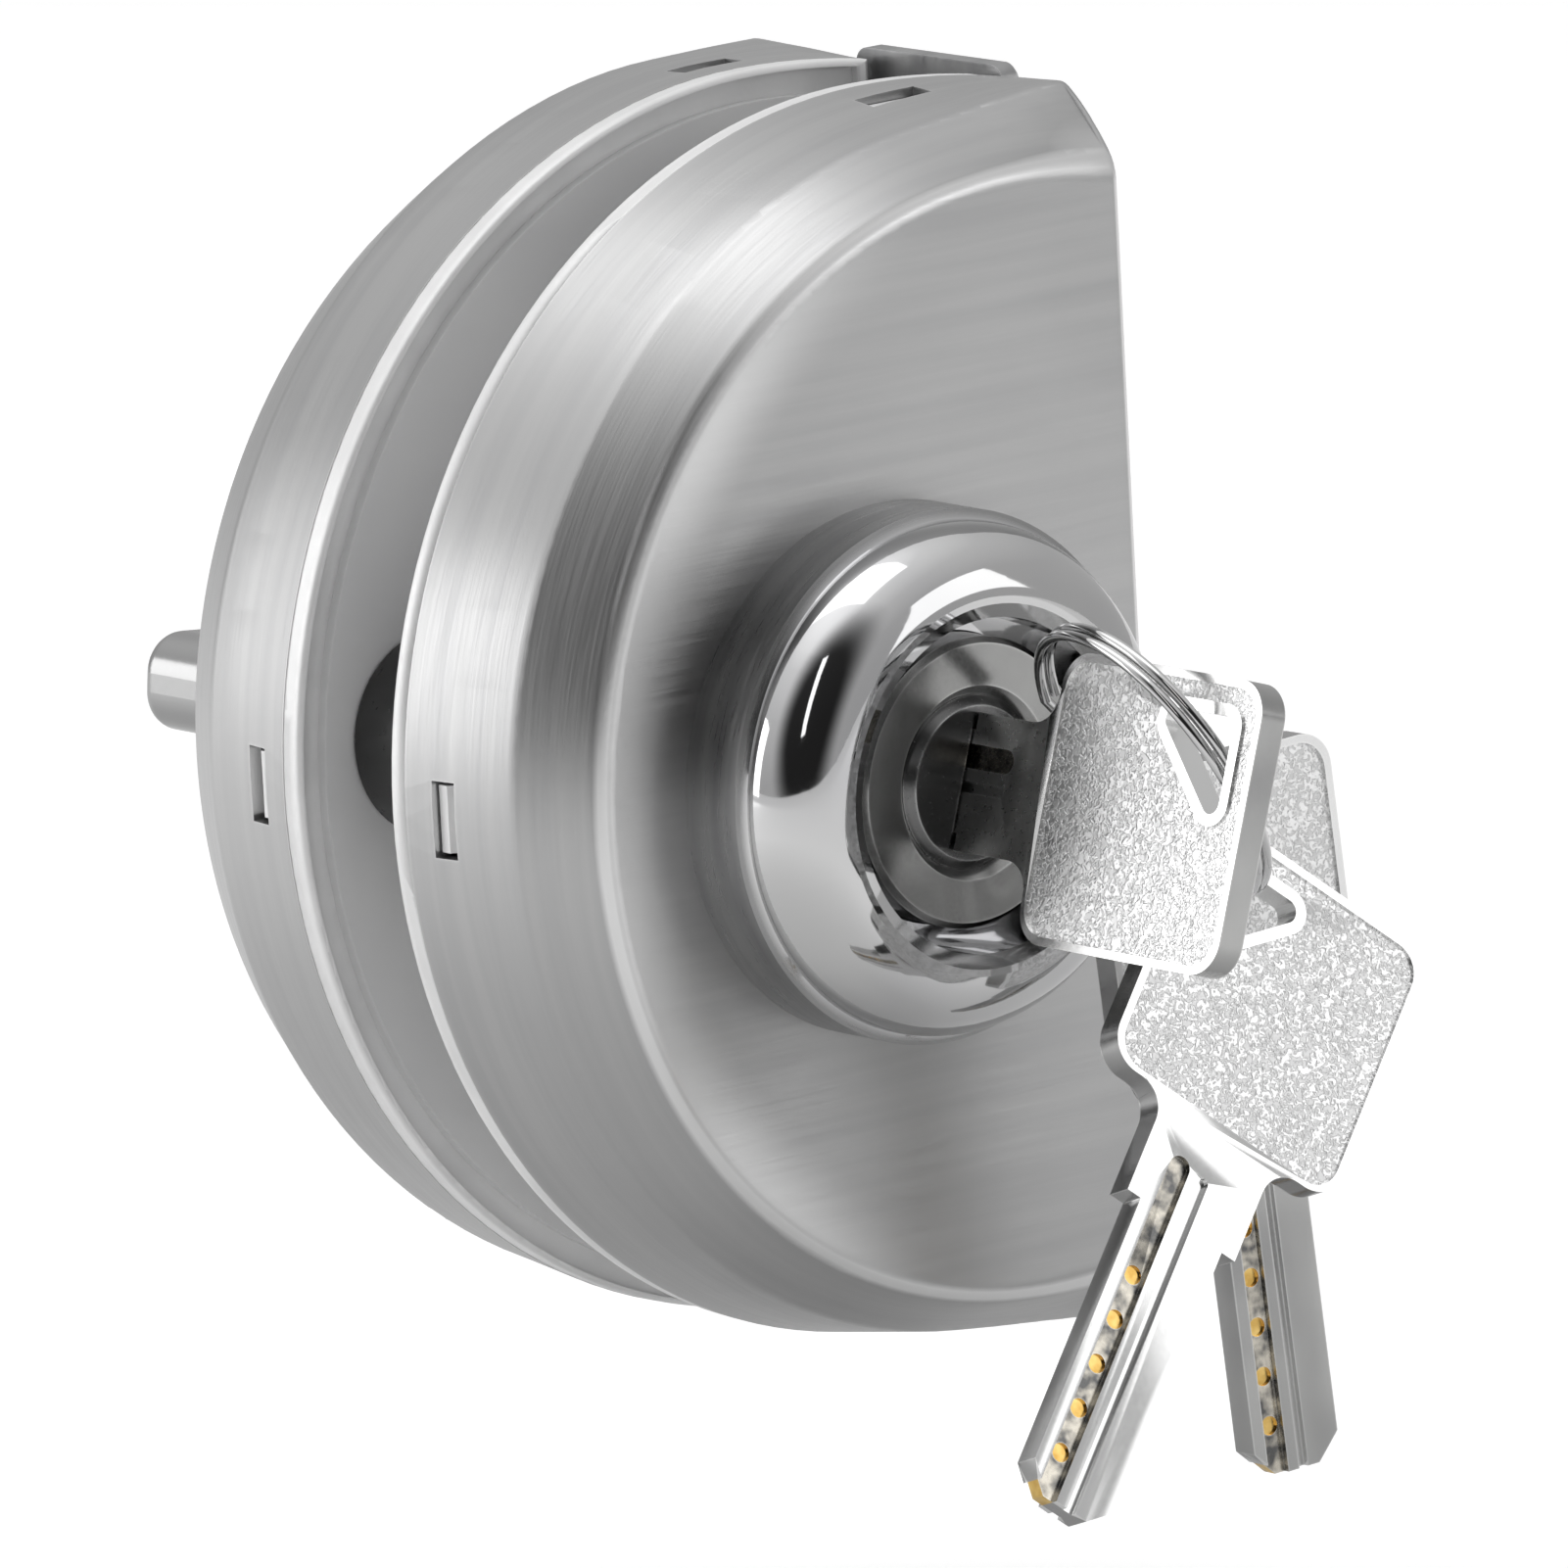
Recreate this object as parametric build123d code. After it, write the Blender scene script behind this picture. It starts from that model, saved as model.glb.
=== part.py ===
from build123d import *
from math import cos, radians, sin
import os

# Glass cabinet door lock: two D-shaped halves clamp the glass, a key cylinder stands in front,
# a thumbturn behind, and a bolt slides out of the straight side. Three keys hang on a split ring.
# +X points out of the straight side, -Y to the keyed front, +Z up.
# The origin is where the turning axis crosses the middle plane of the glass. Lengths are millimetres.

# Outline and depth of the two halves
arc_radius = 52.4
arc_centre_x = 16.2
side_mouth_x = 30.1
side_lean = 2.0
glass_gap = 11.0
rim_height = 2.35
cover_depth = 18.5
cover_wall = 1.2
shoulder_depth = 11.6
shoulder_inset = 1.7
ramp_inset = 5.4
shoulder_round = 3.0
face_round = 2.4
side_edge_round = 1.3

# Clip slots in the covers and the tabs that snap into them
slot_length = 6.4
slot_width = 2.4
slot_from_mouth = 4.1
tab_thickness = 1.4
tab_play = 0.4
tab_sunk = 0.5

# Bases and pads
rim_sunk = 0.4
rim_round = 1.8
pad_proud = 0.3
pad_thickness = 1.0
pad_inset = 2.5
pad_play = 0.1
spigot_play = 0.5
spigot_height = 1.75
boss_wall = 3.0
boss_height = 12.0
rib_thickness = 1.6
rib_height = 5.0

# Turning, throw and how far the key has turned in the lock at rest
turn_range = 90.0
turn_at_rest = 18.0
bolt_throw = 12.0
nose_start = -45.0

# Lock case, edge plate and bolt
case_left_x = -12.5
case_end_room = 8.0
case_gap = 0.3
case_wall = 1.2
plate_gap = 0.4
plate_thickness = 2.2
plate_ledge = 1.45
plate_corner = 1.5
plate_edge = 0.5
bolt_half_height = 13.0
bolt_side_play = 0.3
bolt_block_length = 19.5
bolt_play = 0.2
bolt_edge = 0.6
tail_split = 0.2
tail_bridge = 2.1
tail_left = 5.0
tail_lift = 0.4

# Drive cam
hub_radius = 5.5
hub_play = 0.08
nose_radius = 2.0
nose_play = 0.4
arm_half_width = 3.0
square_half = 2.5
square_play = 0.1
tail_half_width = 3.0
tail_half_thickness = 1.2

# Detent over the bolt's tail
ball_radius = 1.3
ball_x = 3.5
ball_sunk = 0.6
ball_play = 0.1
detent_groove_half = 1.3
detent_groove_depth = 0.9
detent_notch_radius = 1.6
detent_post_radius = 2.6
detent_spring_wall = 0.4

# Cylinder and plug
cylinder_proud = 10.45
plug_radius = 7.2
plug_play = 0.05
plug_rim = 0.8
plug_end_room = 0.5
plug_tail_step = 1.2
clip_bite = 0.8
clip_width = 1.8
clip_thickness = 0.7
clip_play = 0.05
clip_room = 1.7
clip_slack = 0.3
collar_play = 0.1
keyway_play = 0.15
keyway_end_wall = 0.4
face_edge = 0.5

# Pins of the cylinder
pin_count = 5
pin_radius = 1.05
pin_pitch = 4.2
pin_first_from_face = 5.6
pin_play = 0.05
pin_tip_radius = 0.55
pin_tip_length = 0.6
driver_length = 1.8
pin_spring_length = 1.9
pin_spring_wall = 0.3
pin_cap_length = 1.1
shear_gap = 0.05
pin_tip_gap = 0.1

# Escutcheon ring
ring_radius = 22.05
ring_wall_height = 6.2
ring_lip_radius = 21.2
ring_lip_height = 6.7
ring_rim_width = 1.8
ring_dome_height = 12.3
ring_hole_room = 1.8
ring_height = 12.9
ring_collar_height = 6.5
ring_collar_thickness = 2.2
ring_shell = 2.0
dome_bulge_share = 0.2

# Thumbturn, its rose and bearing
rose_radius = 15.0
rose_thickness = 1.6
rose_edge = 0.6
thumb_gap = 0.3
thumb_foot_radius = 12.5
thumb_foot_height = 2.4
thumb_foot_round = 0.8
thumb_waist_radius = 9.5
thumb_waist_height = 6.0
thumb_half_length = 21.0
thumb_half_height = 4.2
thumb_length = 17.5
thumb_grip_depth = 9.0
thumb_round = 1.6
thumb_rest_angle = 6.0
stem_radius = 5.0
stem_end_room = 1.0
stem_play = 0.05
stem_groove_radius = 4.0
stem_clip_radius = 7.4
bearing_radius = 8.0
bearing_play = 0.1
bearing_room = 3.2
bearing_sunk = 0.5

# Clamp screws and their bushes
bush_gap = 1.0
bush_z = 3.0
bush_radius = 8.6
side_screw_x = 8.0
side_screw_from_arc = 16.4
small_bush_radius = 6.0
bush_play = 0.1
bush_edge = 0.5
clamp_radius = 2.5
clamp_play = 0.1
clamp_head_radius = 4.4
clamp_head_height = 2.6
clamp_head_round = 0.9
head_room = 0.5
clamp_socket_radius = 1.5
clamp_socket_depth = 1.6
socket_sides = 6
clamp_boss_radius = 5.5
clamp_boss_height = 7.0

# Small screws of the cylinder, case and edge plate
small_radius = 1.5
small_play = 0.1
small_head_radius = 2.6
small_head_height = 1.1
drive_width = 0.6
drive_depth = 0.5
cylinder_screw_wall = 2.1
cylinder_screw_length = 9.0
case_screw_x = (-8.0, 11.5)
lug_gap = 0.8
case_screw_length = 6.0
plate_screw_room = 4.4
plate_screw_length = 7.0
lug_half = 3.2

# Keys
head_width = 24.0
head_length = 24.0
head_corner = 3.0
key_thickness = 2.6
neck_width = 11.4
neck_length = 9.2
neck_round = 2.6
neck_round_limit_share = 0.9
blade_width = 8.6
blade_tip_corner = 2.2
panel_margin = 1.3
panel_depth = 0.25
panel_foot = 1.6
hole_edge = 3.1
hole_width = 9.4
hole_height = 9.4
hole_corner = 1.0
hole_rim = 1.0
wide_groove_v = 2.1
wide_groove_width = 2.0
narrow_groove_v = -0.45
narrow_groove_width = 0.9
groove_depth = 0.55
groove_start = 5.0
dimple_radius = 0.8
dimple_depth = 0.25
key_stop_gap = 0.3
key_tip_gap = 0.3

# Split ring and the hanging keys, from the middle of the standing key's head end; directions are unit vectors
ring_wire_radius = 0.45
ring_pitch = 1.05
ring_turn_radius = 13.06
ring_centre = (4.695, 16.973, 2.756)
ring_axis_share = (-0.87406, 0.1664, -0.45643)
ring_start_share = (-0.31778, 0.51479, 0.79624)
ring_jog_angle = 50.0
ring_jog_span = 14.0
key_two_end = (18.39, 13.74, -9.15)
key_two_out_share = (0.68, 0.1971, 0.7062)
key_two_face_share = (-0.0674, -0.9423, 0.3279)
key_three_end = (16.23, 24.1, 0.42)
key_three_out_share = (-0.062, 0.0431, 0.9971)
key_three_face_share = (-0.0866, -0.9955, 0.0377)

# One overrun serves all cuts
overrun = 1.0

# Depths, worked out from the glass outwards
half_gap = glass_gap / 2
rim_y = half_gap + pad_proud
pocket_y = half_gap + pad_thickness
mouth_y = half_gap + rim_height
base_inner_y = mouth_y + spigot_height
face_y = mouth_y + cover_depth
cylinder_front_y = face_y + cylinder_proud
plug_end_y = pocket_y + plug_end_room
clip_y = pocket_y + clip_room
keyway_end_y = base_inner_y + keyway_end_wall
stem_end_y = base_inner_y + stem_end_room
bearing_inner_y = base_inner_y + bearing_room
case_half_depth = half_gap - case_gap
bolt_half_thickness = case_half_depth - case_wall - bolt_side_play

# Places across the lock, worked out from the pieces they belong to
side_face_x = side_mouth_x - side_lean
plate_x = side_mouth_x + plate_gap
plate_face_x = plate_x + plate_thickness
plate_half_width = mouth_y + plate_ledge
plate_half_height = arc_radius - rim_sunk
case_half_height = bolt_half_height + case_end_room
case_screw_z = bolt_half_height + lug_gap + lug_half
plate_screw_z = bolt_half_height + plate_screw_room
tail_top_z = bolt_half_height
nose_reach = tail_top_z - tail_bridge - nose_play - nose_radius
bolt_out = bolt_throw * turn_at_rest / turn_range
bush_x = case_left_x - bush_gap - bush_radius
side_screw_z = arc_radius - side_screw_from_arc
tilt_share = shoulder_inset / shoulder_depth
side_lean_share = side_lean / cover_depth

# Radii round the turning axis
cylinder_radius = plug_radius + driver_length + pin_spring_length + pin_cap_length
cylinder_screw_reach = cylinder_radius - cylinder_screw_wall
plug_tail_radius = plug_radius - plug_tail_step
clip_inner_radius = plug_tail_radius - clip_bite
clip_outer_radius = clip_inner_radius + clip_width
ring_hole_radius = cylinder_radius + ring_hole_room
ring_dome_radius = ring_hole_radius + ring_rim_width

# Keys
half_key = key_thickness / 2
keyway_half = half_key + keyway_play
head_start_y = cylinder_front_y + key_stop_gap + neck_length
key_end_y = head_start_y + head_length
key_length = key_end_y - keyway_end_y - key_tip_gap
pin_z = wide_groove_v
key_tilt = Rot(0, turn_at_rest, 0)
key_ring_place = Pos(0, -key_end_y, 0)


def across(radius, length, place, outward=(0, 0, 1)):
    """A cylinder that starts at a place and runs along a direction."""
    return Plane(origin=place, z_dir=outward) * extrude(Circle(radius), length)


def tube(outer, inner, start_y, end_y, x=0.0, z=0.0):
    """A tube along +Y from one depth to another."""
    section = Plane(origin=(x, start_y, z), z_dir=(0, 1, 0)) * (Circle(outer) - Circle(inner))
    return extrude(section, end_y - start_y)


def rod(radius, start_y, end_y, x=0.0, z=0.0):
    """A round bar along Y between two depths."""
    return across(radius, end_y - start_y, (x, start_y, z), (0, 1, 0))


def block(low, high):
    """A box between two corners."""
    size = [high[i] - low[i] for i in range(3)]
    middle = [(high[i] + low[i]) / 2 for i in range(3)]
    return Pos(*middle) * Box(*size)


def group(pieces):
    """Separate solids kept together as one sub-part."""
    return Compound([piece.solid() for piece in pieces])


def around_lock(points):
    """Turn an outline of (radius, y) points about the lock's axis."""
    return revolve(make_face(Polyline(*points, close=True)), Axis.Y)


def about_arc(profile):
    """Turn a profile about the axis of the D's arc."""
    return revolve(profile, Axis((arc_centre_x, 0, 0), (0, 1, 0)))


def at_arc(points):
    """Move (radius, y) points out to the D's arc centre."""
    return [(arc_centre_x + radius, y) for radius, y in points]


def side_prism(inset, lean_share=0.0):
    """Everything left of the straight side, which leans in towards the face."""
    near_x = side_mouth_x - inset + lean_share * mouth_y
    far_x = near_x - lean_share * (face_y + overrun)
    left_x = arc_centre_x - arc_radius - overrun
    low_y = -face_y - overrun
    points = [(left_x, 0), (near_x, 0), (far_x, low_y), (left_x, low_y)]
    return extrude(make_face(Polyline(*points, close=True)), arc_radius + overrun, both=True)


def d_plate(inset, start_y, end_y, side_inset=None):
    """A flat D-shaped plate in the front half, between two depths."""
    side_inset = inset if side_inset is None else side_inset
    disc = rod(arc_radius - inset, -end_y, -start_y, arc_centre_x)
    return disc & side_prism(side_inset)


def dish_profile(inset):
    """Half section of a cover: drafted wall, shoulder, ramp and face, moved in by an inset."""
    spare = overrun + inset
    shoulder_y = mouth_y + shoulder_depth
    points = at_arc([
        (-spare, -mouth_y + spare),
        (arc_radius + tilt_share * spare, -mouth_y + spare),
        (arc_radius - shoulder_inset, -shoulder_y),
        (arc_radius - ramp_inset, -face_y),
        (-spare, -face_y),
    ])
    section = make_face(Polyline(*points, close=True))
    shoulder = section.vertices().sort_by_distance((*points[2], 0))[0]
    section = fillet(shoulder, shoulder_round)
    rim = section.vertices().sort_by_distance((*points[3], 0))[0]
    section = fillet(rim, face_round)
    if inset:
        section = offset(section, amount=-inset)
    mouth = -mouth_y + (overrun if inset else 0)
    window = make_face(Polyline(*at_arc([
        (0, mouth),
        (arc_radius + spare, mouth),
        (arc_radius + spare, -face_y - overrun),
        (0, -face_y - overrun),
    ]), close=True))
    return section & window


def clip_places():
    """Turns about the D's arc centre, in degrees, of the three clip slots."""
    return (-90, 0, 90)


def turned_to_clip(piece, angle):
    """Carry a piece built at the D's left extreme round to a clip slot."""
    about = Pos(arc_centre_x, 0, 0) * Rot(0, angle, 0) * Pos(-arc_centre_x, 0, 0)
    return about * piece


def cover_shell():
    """Pressed front cover with its clip slots."""
    outer = about_arc(dish_profile(0)) & side_prism(0, side_lean_share)
    edges = outer.edges().filter_by(lambda e: e.center().X > side_face_x - overrun)
    edges = edges.filter_by(lambda e: e.center().Y < -mouth_y - overrun)
    outer = fillet(edges, side_edge_round)
    inner = about_arc(dish_profile(cover_wall)) & side_prism(cover_wall, side_lean_share)
    shell = outer - inner
    slot_y = mouth_y + slot_from_mouth
    left_x = arc_centre_x - arc_radius
    cutter = block(
        (left_x - overrun, -slot_y - slot_width / 2, -slot_length / 2),
        (left_x + shoulder_inset + cover_wall + overrun, -slot_y + slot_width / 2, slot_length / 2),
    )
    for angle in clip_places():
        shell -= turned_to_clip(cutter, angle)
    return shell


def snap_tab():
    """Tab at the left extreme: an arm along the cover's wall with a nose in the slot."""
    slot_y = mouth_y + slot_from_mouth
    wall_radius = arc_radius - cover_wall - tilt_share * (slot_from_mouth + slot_width)
    outer = wall_radius - tab_play
    inner = outer - tab_thickness
    nose = arc_radius - tilt_share * slot_from_mouth - tab_sunk
    half_nose = slot_width / 2 - tab_play / 2
    tip_y = slot_y + slot_width / 2 + tab_play
    points = [
        (inner, -base_inner_y + overrun),
        (inner, -tip_y),
        (outer, -tip_y),
        (outer, -slot_y - half_nose),
        (nose, -slot_y),
        (nose, -slot_y + half_nose),
        (outer, -slot_y + half_nose),
        (outer, -base_inner_y + overrun),
    ]
    placed = [(arc_centre_x - radius, y) for radius, y in points]
    half = slot_length / 2 - tab_play
    return extrude(make_face(Polyline(*placed, close=True)), half, both=True)


def clamp_places():
    """(x, z, bush radius) of the screws that clamp the halves together."""
    return (
        (bush_x, bush_z, bush_radius),
        (side_screw_x, side_screw_z, small_bush_radius),
        (side_screw_x, -side_screw_z, small_bush_radius),
    )


def base_plate():
    """Cast base behind a front cover: rim, spigot, pad pocket and snap tabs."""
    rim = d_plate(rim_sunk, rim_y, mouth_y)
    glass_edges = rim.faces().sort_by(Axis.Y)[-1].edges()
    rim = fillet(glass_edges, rim_round)
    base = rim + d_plate(cover_wall + spigot_play, mouth_y, base_inner_y)
    base -= d_plate(pad_inset, 0, pocket_y)
    for angle in clip_places():
        base += turned_to_clip(snap_tab(), angle)
    return base


def rib(start, end, top_y):
    """Upright web between two (x, z) points on a base."""
    length = ((end[0] - start[0]) ** 2 + (end[1] - start[1]) ** 2) ** 0.5
    middle = ((start[0] + end[0]) / 2, (start[1] + end[1]) / 2)
    direction = Vector(end[0] - start[0], 0, end[1] - start[1])
    origin = (middle[0], -base_inner_y + overrun, middle[1])
    plane = Plane(origin=origin, x_dir=direction, z_dir=(0, -1, 0))
    return plane * extrude(Rectangle(length, rib_thickness), top_y - base_inner_y + overrun)


def front_base_piece():
    """Front base with the cylinder's socket and plain holes for the clamp screws."""
    base = base_plate()
    socket_outer = cylinder_radius + collar_play + boss_wall
    for x, z, _ in clamp_places():
        reach = Vector(x, 0, z).normalized() * cylinder_radius
        base += rib((reach.X, reach.Z), (x, z), base_inner_y + rib_height)
        base += rod(clamp_boss_radius, -base_inner_y - rib_height / 2, -base_inner_y + overrun, x, z)
    base += rod(socket_outer, -base_inner_y - boss_height, -base_inner_y + overrun)
    base -= rod(cylinder_radius + collar_play, -face_y, -base_inner_y)
    base -= rod(clip_outer_radius + clip_slack, -base_inner_y - overrun, 0)
    head_seat = -base_inner_y - rib_height / 2
    for x, z, _ in clamp_places():
        base -= rod(clamp_radius + clamp_play, -face_y, 0, x, z)
        base -= rod(clamp_head_radius + head_room, -face_y, head_seat, x, z)
    for sign in (-1, 1):
        z = sign * cylinder_screw_reach
        base -= rod(small_radius + small_play, -face_y, 0, 0, z)
        base -= rod(small_head_radius + small_play, -pocket_y - small_head_height, 0, 0, z)
    return base


def rear_base_piece():
    """Rear base, built in front and mirrored: bearing boss and tapped bosses for the clamp screws."""
    base = base_plate()
    bore = bearing_radius + bearing_play
    for x, z, _ in clamp_places():
        reach = Vector(x, 0, z).normalized() * (bore + boss_wall / 2)
        base += rib((reach.X, reach.Z), (x, z), base_inner_y + rib_height)
        base += rod(clamp_boss_radius, -base_inner_y - clamp_boss_height, -base_inner_y + overrun, x, z)
    base += rod(bore + boss_wall, -base_inner_y - boss_height, -base_inner_y + overrun)
    base -= rod(bore, -face_y, -base_inner_y)
    base -= rod(stem_radius + small_play, -base_inner_y - overrun, 0)
    for x, z, _ in clamp_places():
        base -= rod(clamp_radius + clamp_play, -face_y, 0, x, z)
    return mirror(base, about=Plane.XZ)


def pad_piece():
    """Thin pad that lies in the base's pocket and touches the glass."""
    pad = d_plate(pad_inset + pad_play, half_gap, pocket_y)
    pad -= rod(clip_outer_radius + clip_slack, -face_y, 0)
    for x, z, _ in clamp_places():
        pad -= rod(clamp_radius + clamp_play, -face_y, 0, x, z)
    return pad


def case_screw_places():
    """(x, z) of the screws that hold the case's lid."""
    return [(x, sign * case_screw_z) for x in case_screw_x for sign in (-1, 1)]


def tail_middle_y():
    """Depth of the middle of the bolt's tail, where the detent bears."""
    return -(bolt_half_thickness + tail_split) / 2


def case_piece():
    """Open-fronted steel case: guide rails, detent post and lugs for the small screws."""
    inner_y = case_half_depth - case_wall
    seat_y = inner_y + case_wall / 2
    inner_z = case_half_height - case_wall
    low = (case_left_x, -case_half_depth, -case_half_height)
    case = block(low, (plate_x, case_half_depth, case_half_height))
    low = (case_left_x + case_wall, -case_half_depth - overrun, -inner_z)
    case -= block(low, (plate_x + overrun, inner_y, inner_z))
    for x, z in case_screw_places():
        case += rod(lug_half, -inner_y, seat_y, x, z)
    guide_z = bolt_half_height + bolt_play
    for sign in (-1, 1):
        rail = sorted((sign * guide_z, sign * (guide_z + case_wall)))
        case += block((plate_x - bolt_block_length / 2, -inner_y, rail[0]), (plate_x, seat_y, rail[1]))
        lug = sorted((sign * guide_z, sign * (inner_z + case_wall / 2)))
        case += block((plate_x - plate_screw_length - case_wall, -inner_y, lug[0]), (plate_x, seat_y, lug[1]))
    post_z = tail_top_z + tail_lift
    post_place = (ball_x, tail_middle_y(), post_z)
    case += across(detent_post_radius, inner_z + case_wall / 2 - post_z, post_place) & detent_room()
    case -= across(ball_radius + ball_play, inner_z - case_wall - post_z, post_place)
    case -= rod(hub_radius + hub_play, 0, case_half_depth + overrun)
    for x, z in case_screw_places():
        end_y = -case_half_depth + case_screw_length + overrun
        case -= rod(small_radius + small_play, -case_half_depth, end_y, x, z)
    for sign in (-1, 1):
        place = (plate_x - plate_screw_length, 0, sign * plate_screw_z)
        case -= across(small_radius + small_play, plate_screw_length + overrun, place, (1, 0, 0))
    return case


def detent_room():
    """The case's inside, which trims the detent post to the lid."""
    inner_y = case_half_depth - case_wall
    high = (plate_x, inner_y + case_wall / 2, case_half_height - case_wall / 2)
    return block((case_left_x, -inner_y, 0), high)


def lid_piece():
    """Flat lid inside the case's rim, with countersunk holes and the hub's hole."""
    inner_z = case_half_height - case_wall - small_play
    low = (case_left_x + case_wall + small_play, -case_half_depth, -inner_z)
    lid = block(low, (plate_x, -case_half_depth + case_wall, inner_z))
    lid -= rod(hub_radius + hub_play, -case_half_depth - overrun, 0)
    for x, z in case_screw_places():
        lid -= screw_cutter((x, -case_half_depth, z), (0, 1, 0))
    return lid


def screw_cutter(place, inward):
    """Countersunk hole for a small screw, from its head's face inwards."""
    far = small_radius + small_play
    head = Cone(small_head_radius + small_play, far, small_head_height)
    cutter = Pos(0, 0, small_head_height / 2) * head
    cutter += Pos(0, 0, small_head_height) * extrude(Circle(far), cylinder_screw_length)
    return Plane(origin=place, z_dir=inward) * cutter


def small_screw(place, inward, length):
    """Countersunk screw with a cross slot, from its head's face inwards."""
    screw = Pos(0, 0, small_head_height / 2) * Cone(small_head_radius, small_radius, small_head_height)
    screw += Pos(0, 0, small_head_height) * extrude(Circle(small_radius), length - small_head_height)
    for turn in (0, 90):
        slot = Rot(0, 0, turn) * Box(2 * small_radius, drive_width, 2 * drive_depth)
        screw -= slot
    return Plane(origin=place, z_dir=inward) * screw


def edge_plate_piece():
    """Dark strip along the straight side, with the bolt's window."""
    low = (plate_x, -plate_half_width, -plate_half_height)
    plate = block(low, (plate_face_x, plate_half_width, plate_half_height))
    plate = fillet(plate.edges().filter_by(Axis.X), plate_corner)
    plate = chamfer(plate.faces().sort_by(Axis.X)[-1].edges(), plate_edge)
    window_y = bolt_half_thickness + bolt_play
    window_z = bolt_half_height + bolt_play
    plate -= block((0, -window_y, -window_z), (plate_face_x + overrun, window_y, window_z))
    for sign in (-1, 1):
        plate -= screw_cutter((plate_face_x, 0, sign * plate_screw_z), (-1, 0, 0))
    return plate


def bolt_piece():
    """Deadbolt at rest: a block, and a tail plate over the hub with a notch for the cam's nose."""
    tip_x = plate_face_x + bolt_out
    back_x = tip_x - bolt_block_length
    bolt = block(
        (back_x, -bolt_half_thickness, -bolt_half_height),
        (tip_x, bolt_half_thickness, bolt_half_height),
    )
    bolt = chamfer(bolt.faces().sort_by(Axis.X)[-1].edges(), bolt_edge)
    notch_x = nose_reach * sin(radians(nose_start)) + bolt_out
    notch_half = nose_radius + nose_play
    tail_low = (notch_x - tail_left, -bolt_half_thickness, hub_radius + tail_lift)
    bolt += block(tail_low, (back_x + overrun, -tail_split, tail_top_z))
    notch_top = nose_reach + nose_radius + nose_play
    bolt -= block((notch_x - notch_half, -face_y, 0), (notch_x + notch_half, 0, notch_top))
    groove_z = tail_top_z - detent_groove_depth
    middle = tail_middle_y()
    groove_end = back_x - detent_notch_radius
    bolt -= block(
        (notch_x - tail_left - overrun, middle - detent_groove_half, groove_z),
        (groove_end, middle + detent_groove_half, tail_top_z + overrun),
    )
    for travel in (0, bolt_throw):
        notch = rod(detent_notch_radius, middle - detent_groove_half, middle + detent_groove_half)
        bolt -= Pos(ball_x + bolt_out - travel, 0, tail_top_z) * notch
    return bolt


def ball_piece():
    """Detent ball that rides in the groove on the bolt's tail."""
    return Pos(ball_x, tail_middle_y(), tail_top_z - ball_sunk + ball_radius) * Sphere(ball_radius)


def detent_spring_piece():
    """Detent spring, between the ball and the end of its bore."""
    low = tail_top_z - ball_sunk + 2 * ball_radius
    high = case_half_height - 2 * case_wall
    place = Pos(ball_x, tail_middle_y(), low)
    return place * extrude(Circle(ball_radius) - Circle(ball_radius - detent_spring_wall), high - low)


def cam_piece():
    """Hub through the case with an arm whose nose drives the bolt; built upright, then turned."""
    hub = rod(hub_radius, -case_half_depth, case_half_depth)
    arm_back = bolt_half_thickness
    arm = block((-arm_half_width, tail_split, 0), (arm_half_width, arm_back, nose_reach))
    arm += rod(arm_half_width, tail_split, arm_back, 0, nose_reach)
    cam = hub + arm + rod(nose_radius, -bolt_half_thickness + bolt_play, arm_back, 0, nose_reach)
    cam = Rot(0, nose_start, 0) * cam
    socket = tail_half_width + square_play
    depth = case_half_depth - case_wall
    half = tail_half_thickness + square_play
    cam -= block((-half, -face_y, -socket), (half, -case_wall, socket))
    square = square_half + square_play
    cam -= block((-square, case_wall / 2, -square), (square, depth + face_y, square))
    return key_tilt * cam


def plug_piece():
    """Plug with its keyway, pin holes, clip groove and slot for the tailpiece; key upright."""
    front = -cylinder_front_y
    tail_start = -base_inner_y
    points = [
        (0, front),
        (plug_radius - plug_rim, front),
        (plug_radius - plug_play, front + plug_rim),
        (plug_radius - plug_play, tail_start),
        (plug_tail_radius, tail_start),
        (plug_tail_radius, -clip_y - clip_thickness - clip_play),
        (clip_inner_radius - clip_play, -clip_y - clip_thickness - clip_play),
        (clip_inner_radius - clip_play, -clip_y + clip_play),
        (plug_tail_radius, -clip_y + clip_play),
        (plug_tail_radius, -plug_end_y),
        (0, -plug_end_y),
    ]
    plug = around_lock(points)
    slot_z = blade_width / 2 + keyway_play
    plug -= block((-keyway_half, front - overrun, -slot_z), (keyway_half, -keyway_end_y, slot_z))
    for y in pin_depths():
        place = (keyway_half - overrun, y, pin_z)
        plug -= across(pin_radius + pin_play, plug_radius + overrun, place, (1, 0, 0))
    socket = tail_half_width + square_play
    half = tail_half_thickness + square_play
    plug -= block((-half, -keyway_end_y + case_wall, -socket), (half, 0, socket))
    return key_tilt * plug


def pin_depths():
    """Depths of the pins behind the plug's face."""
    return [-cylinder_front_y + pin_first_from_face + pin_pitch * i for i in range(pin_count)]


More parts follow.
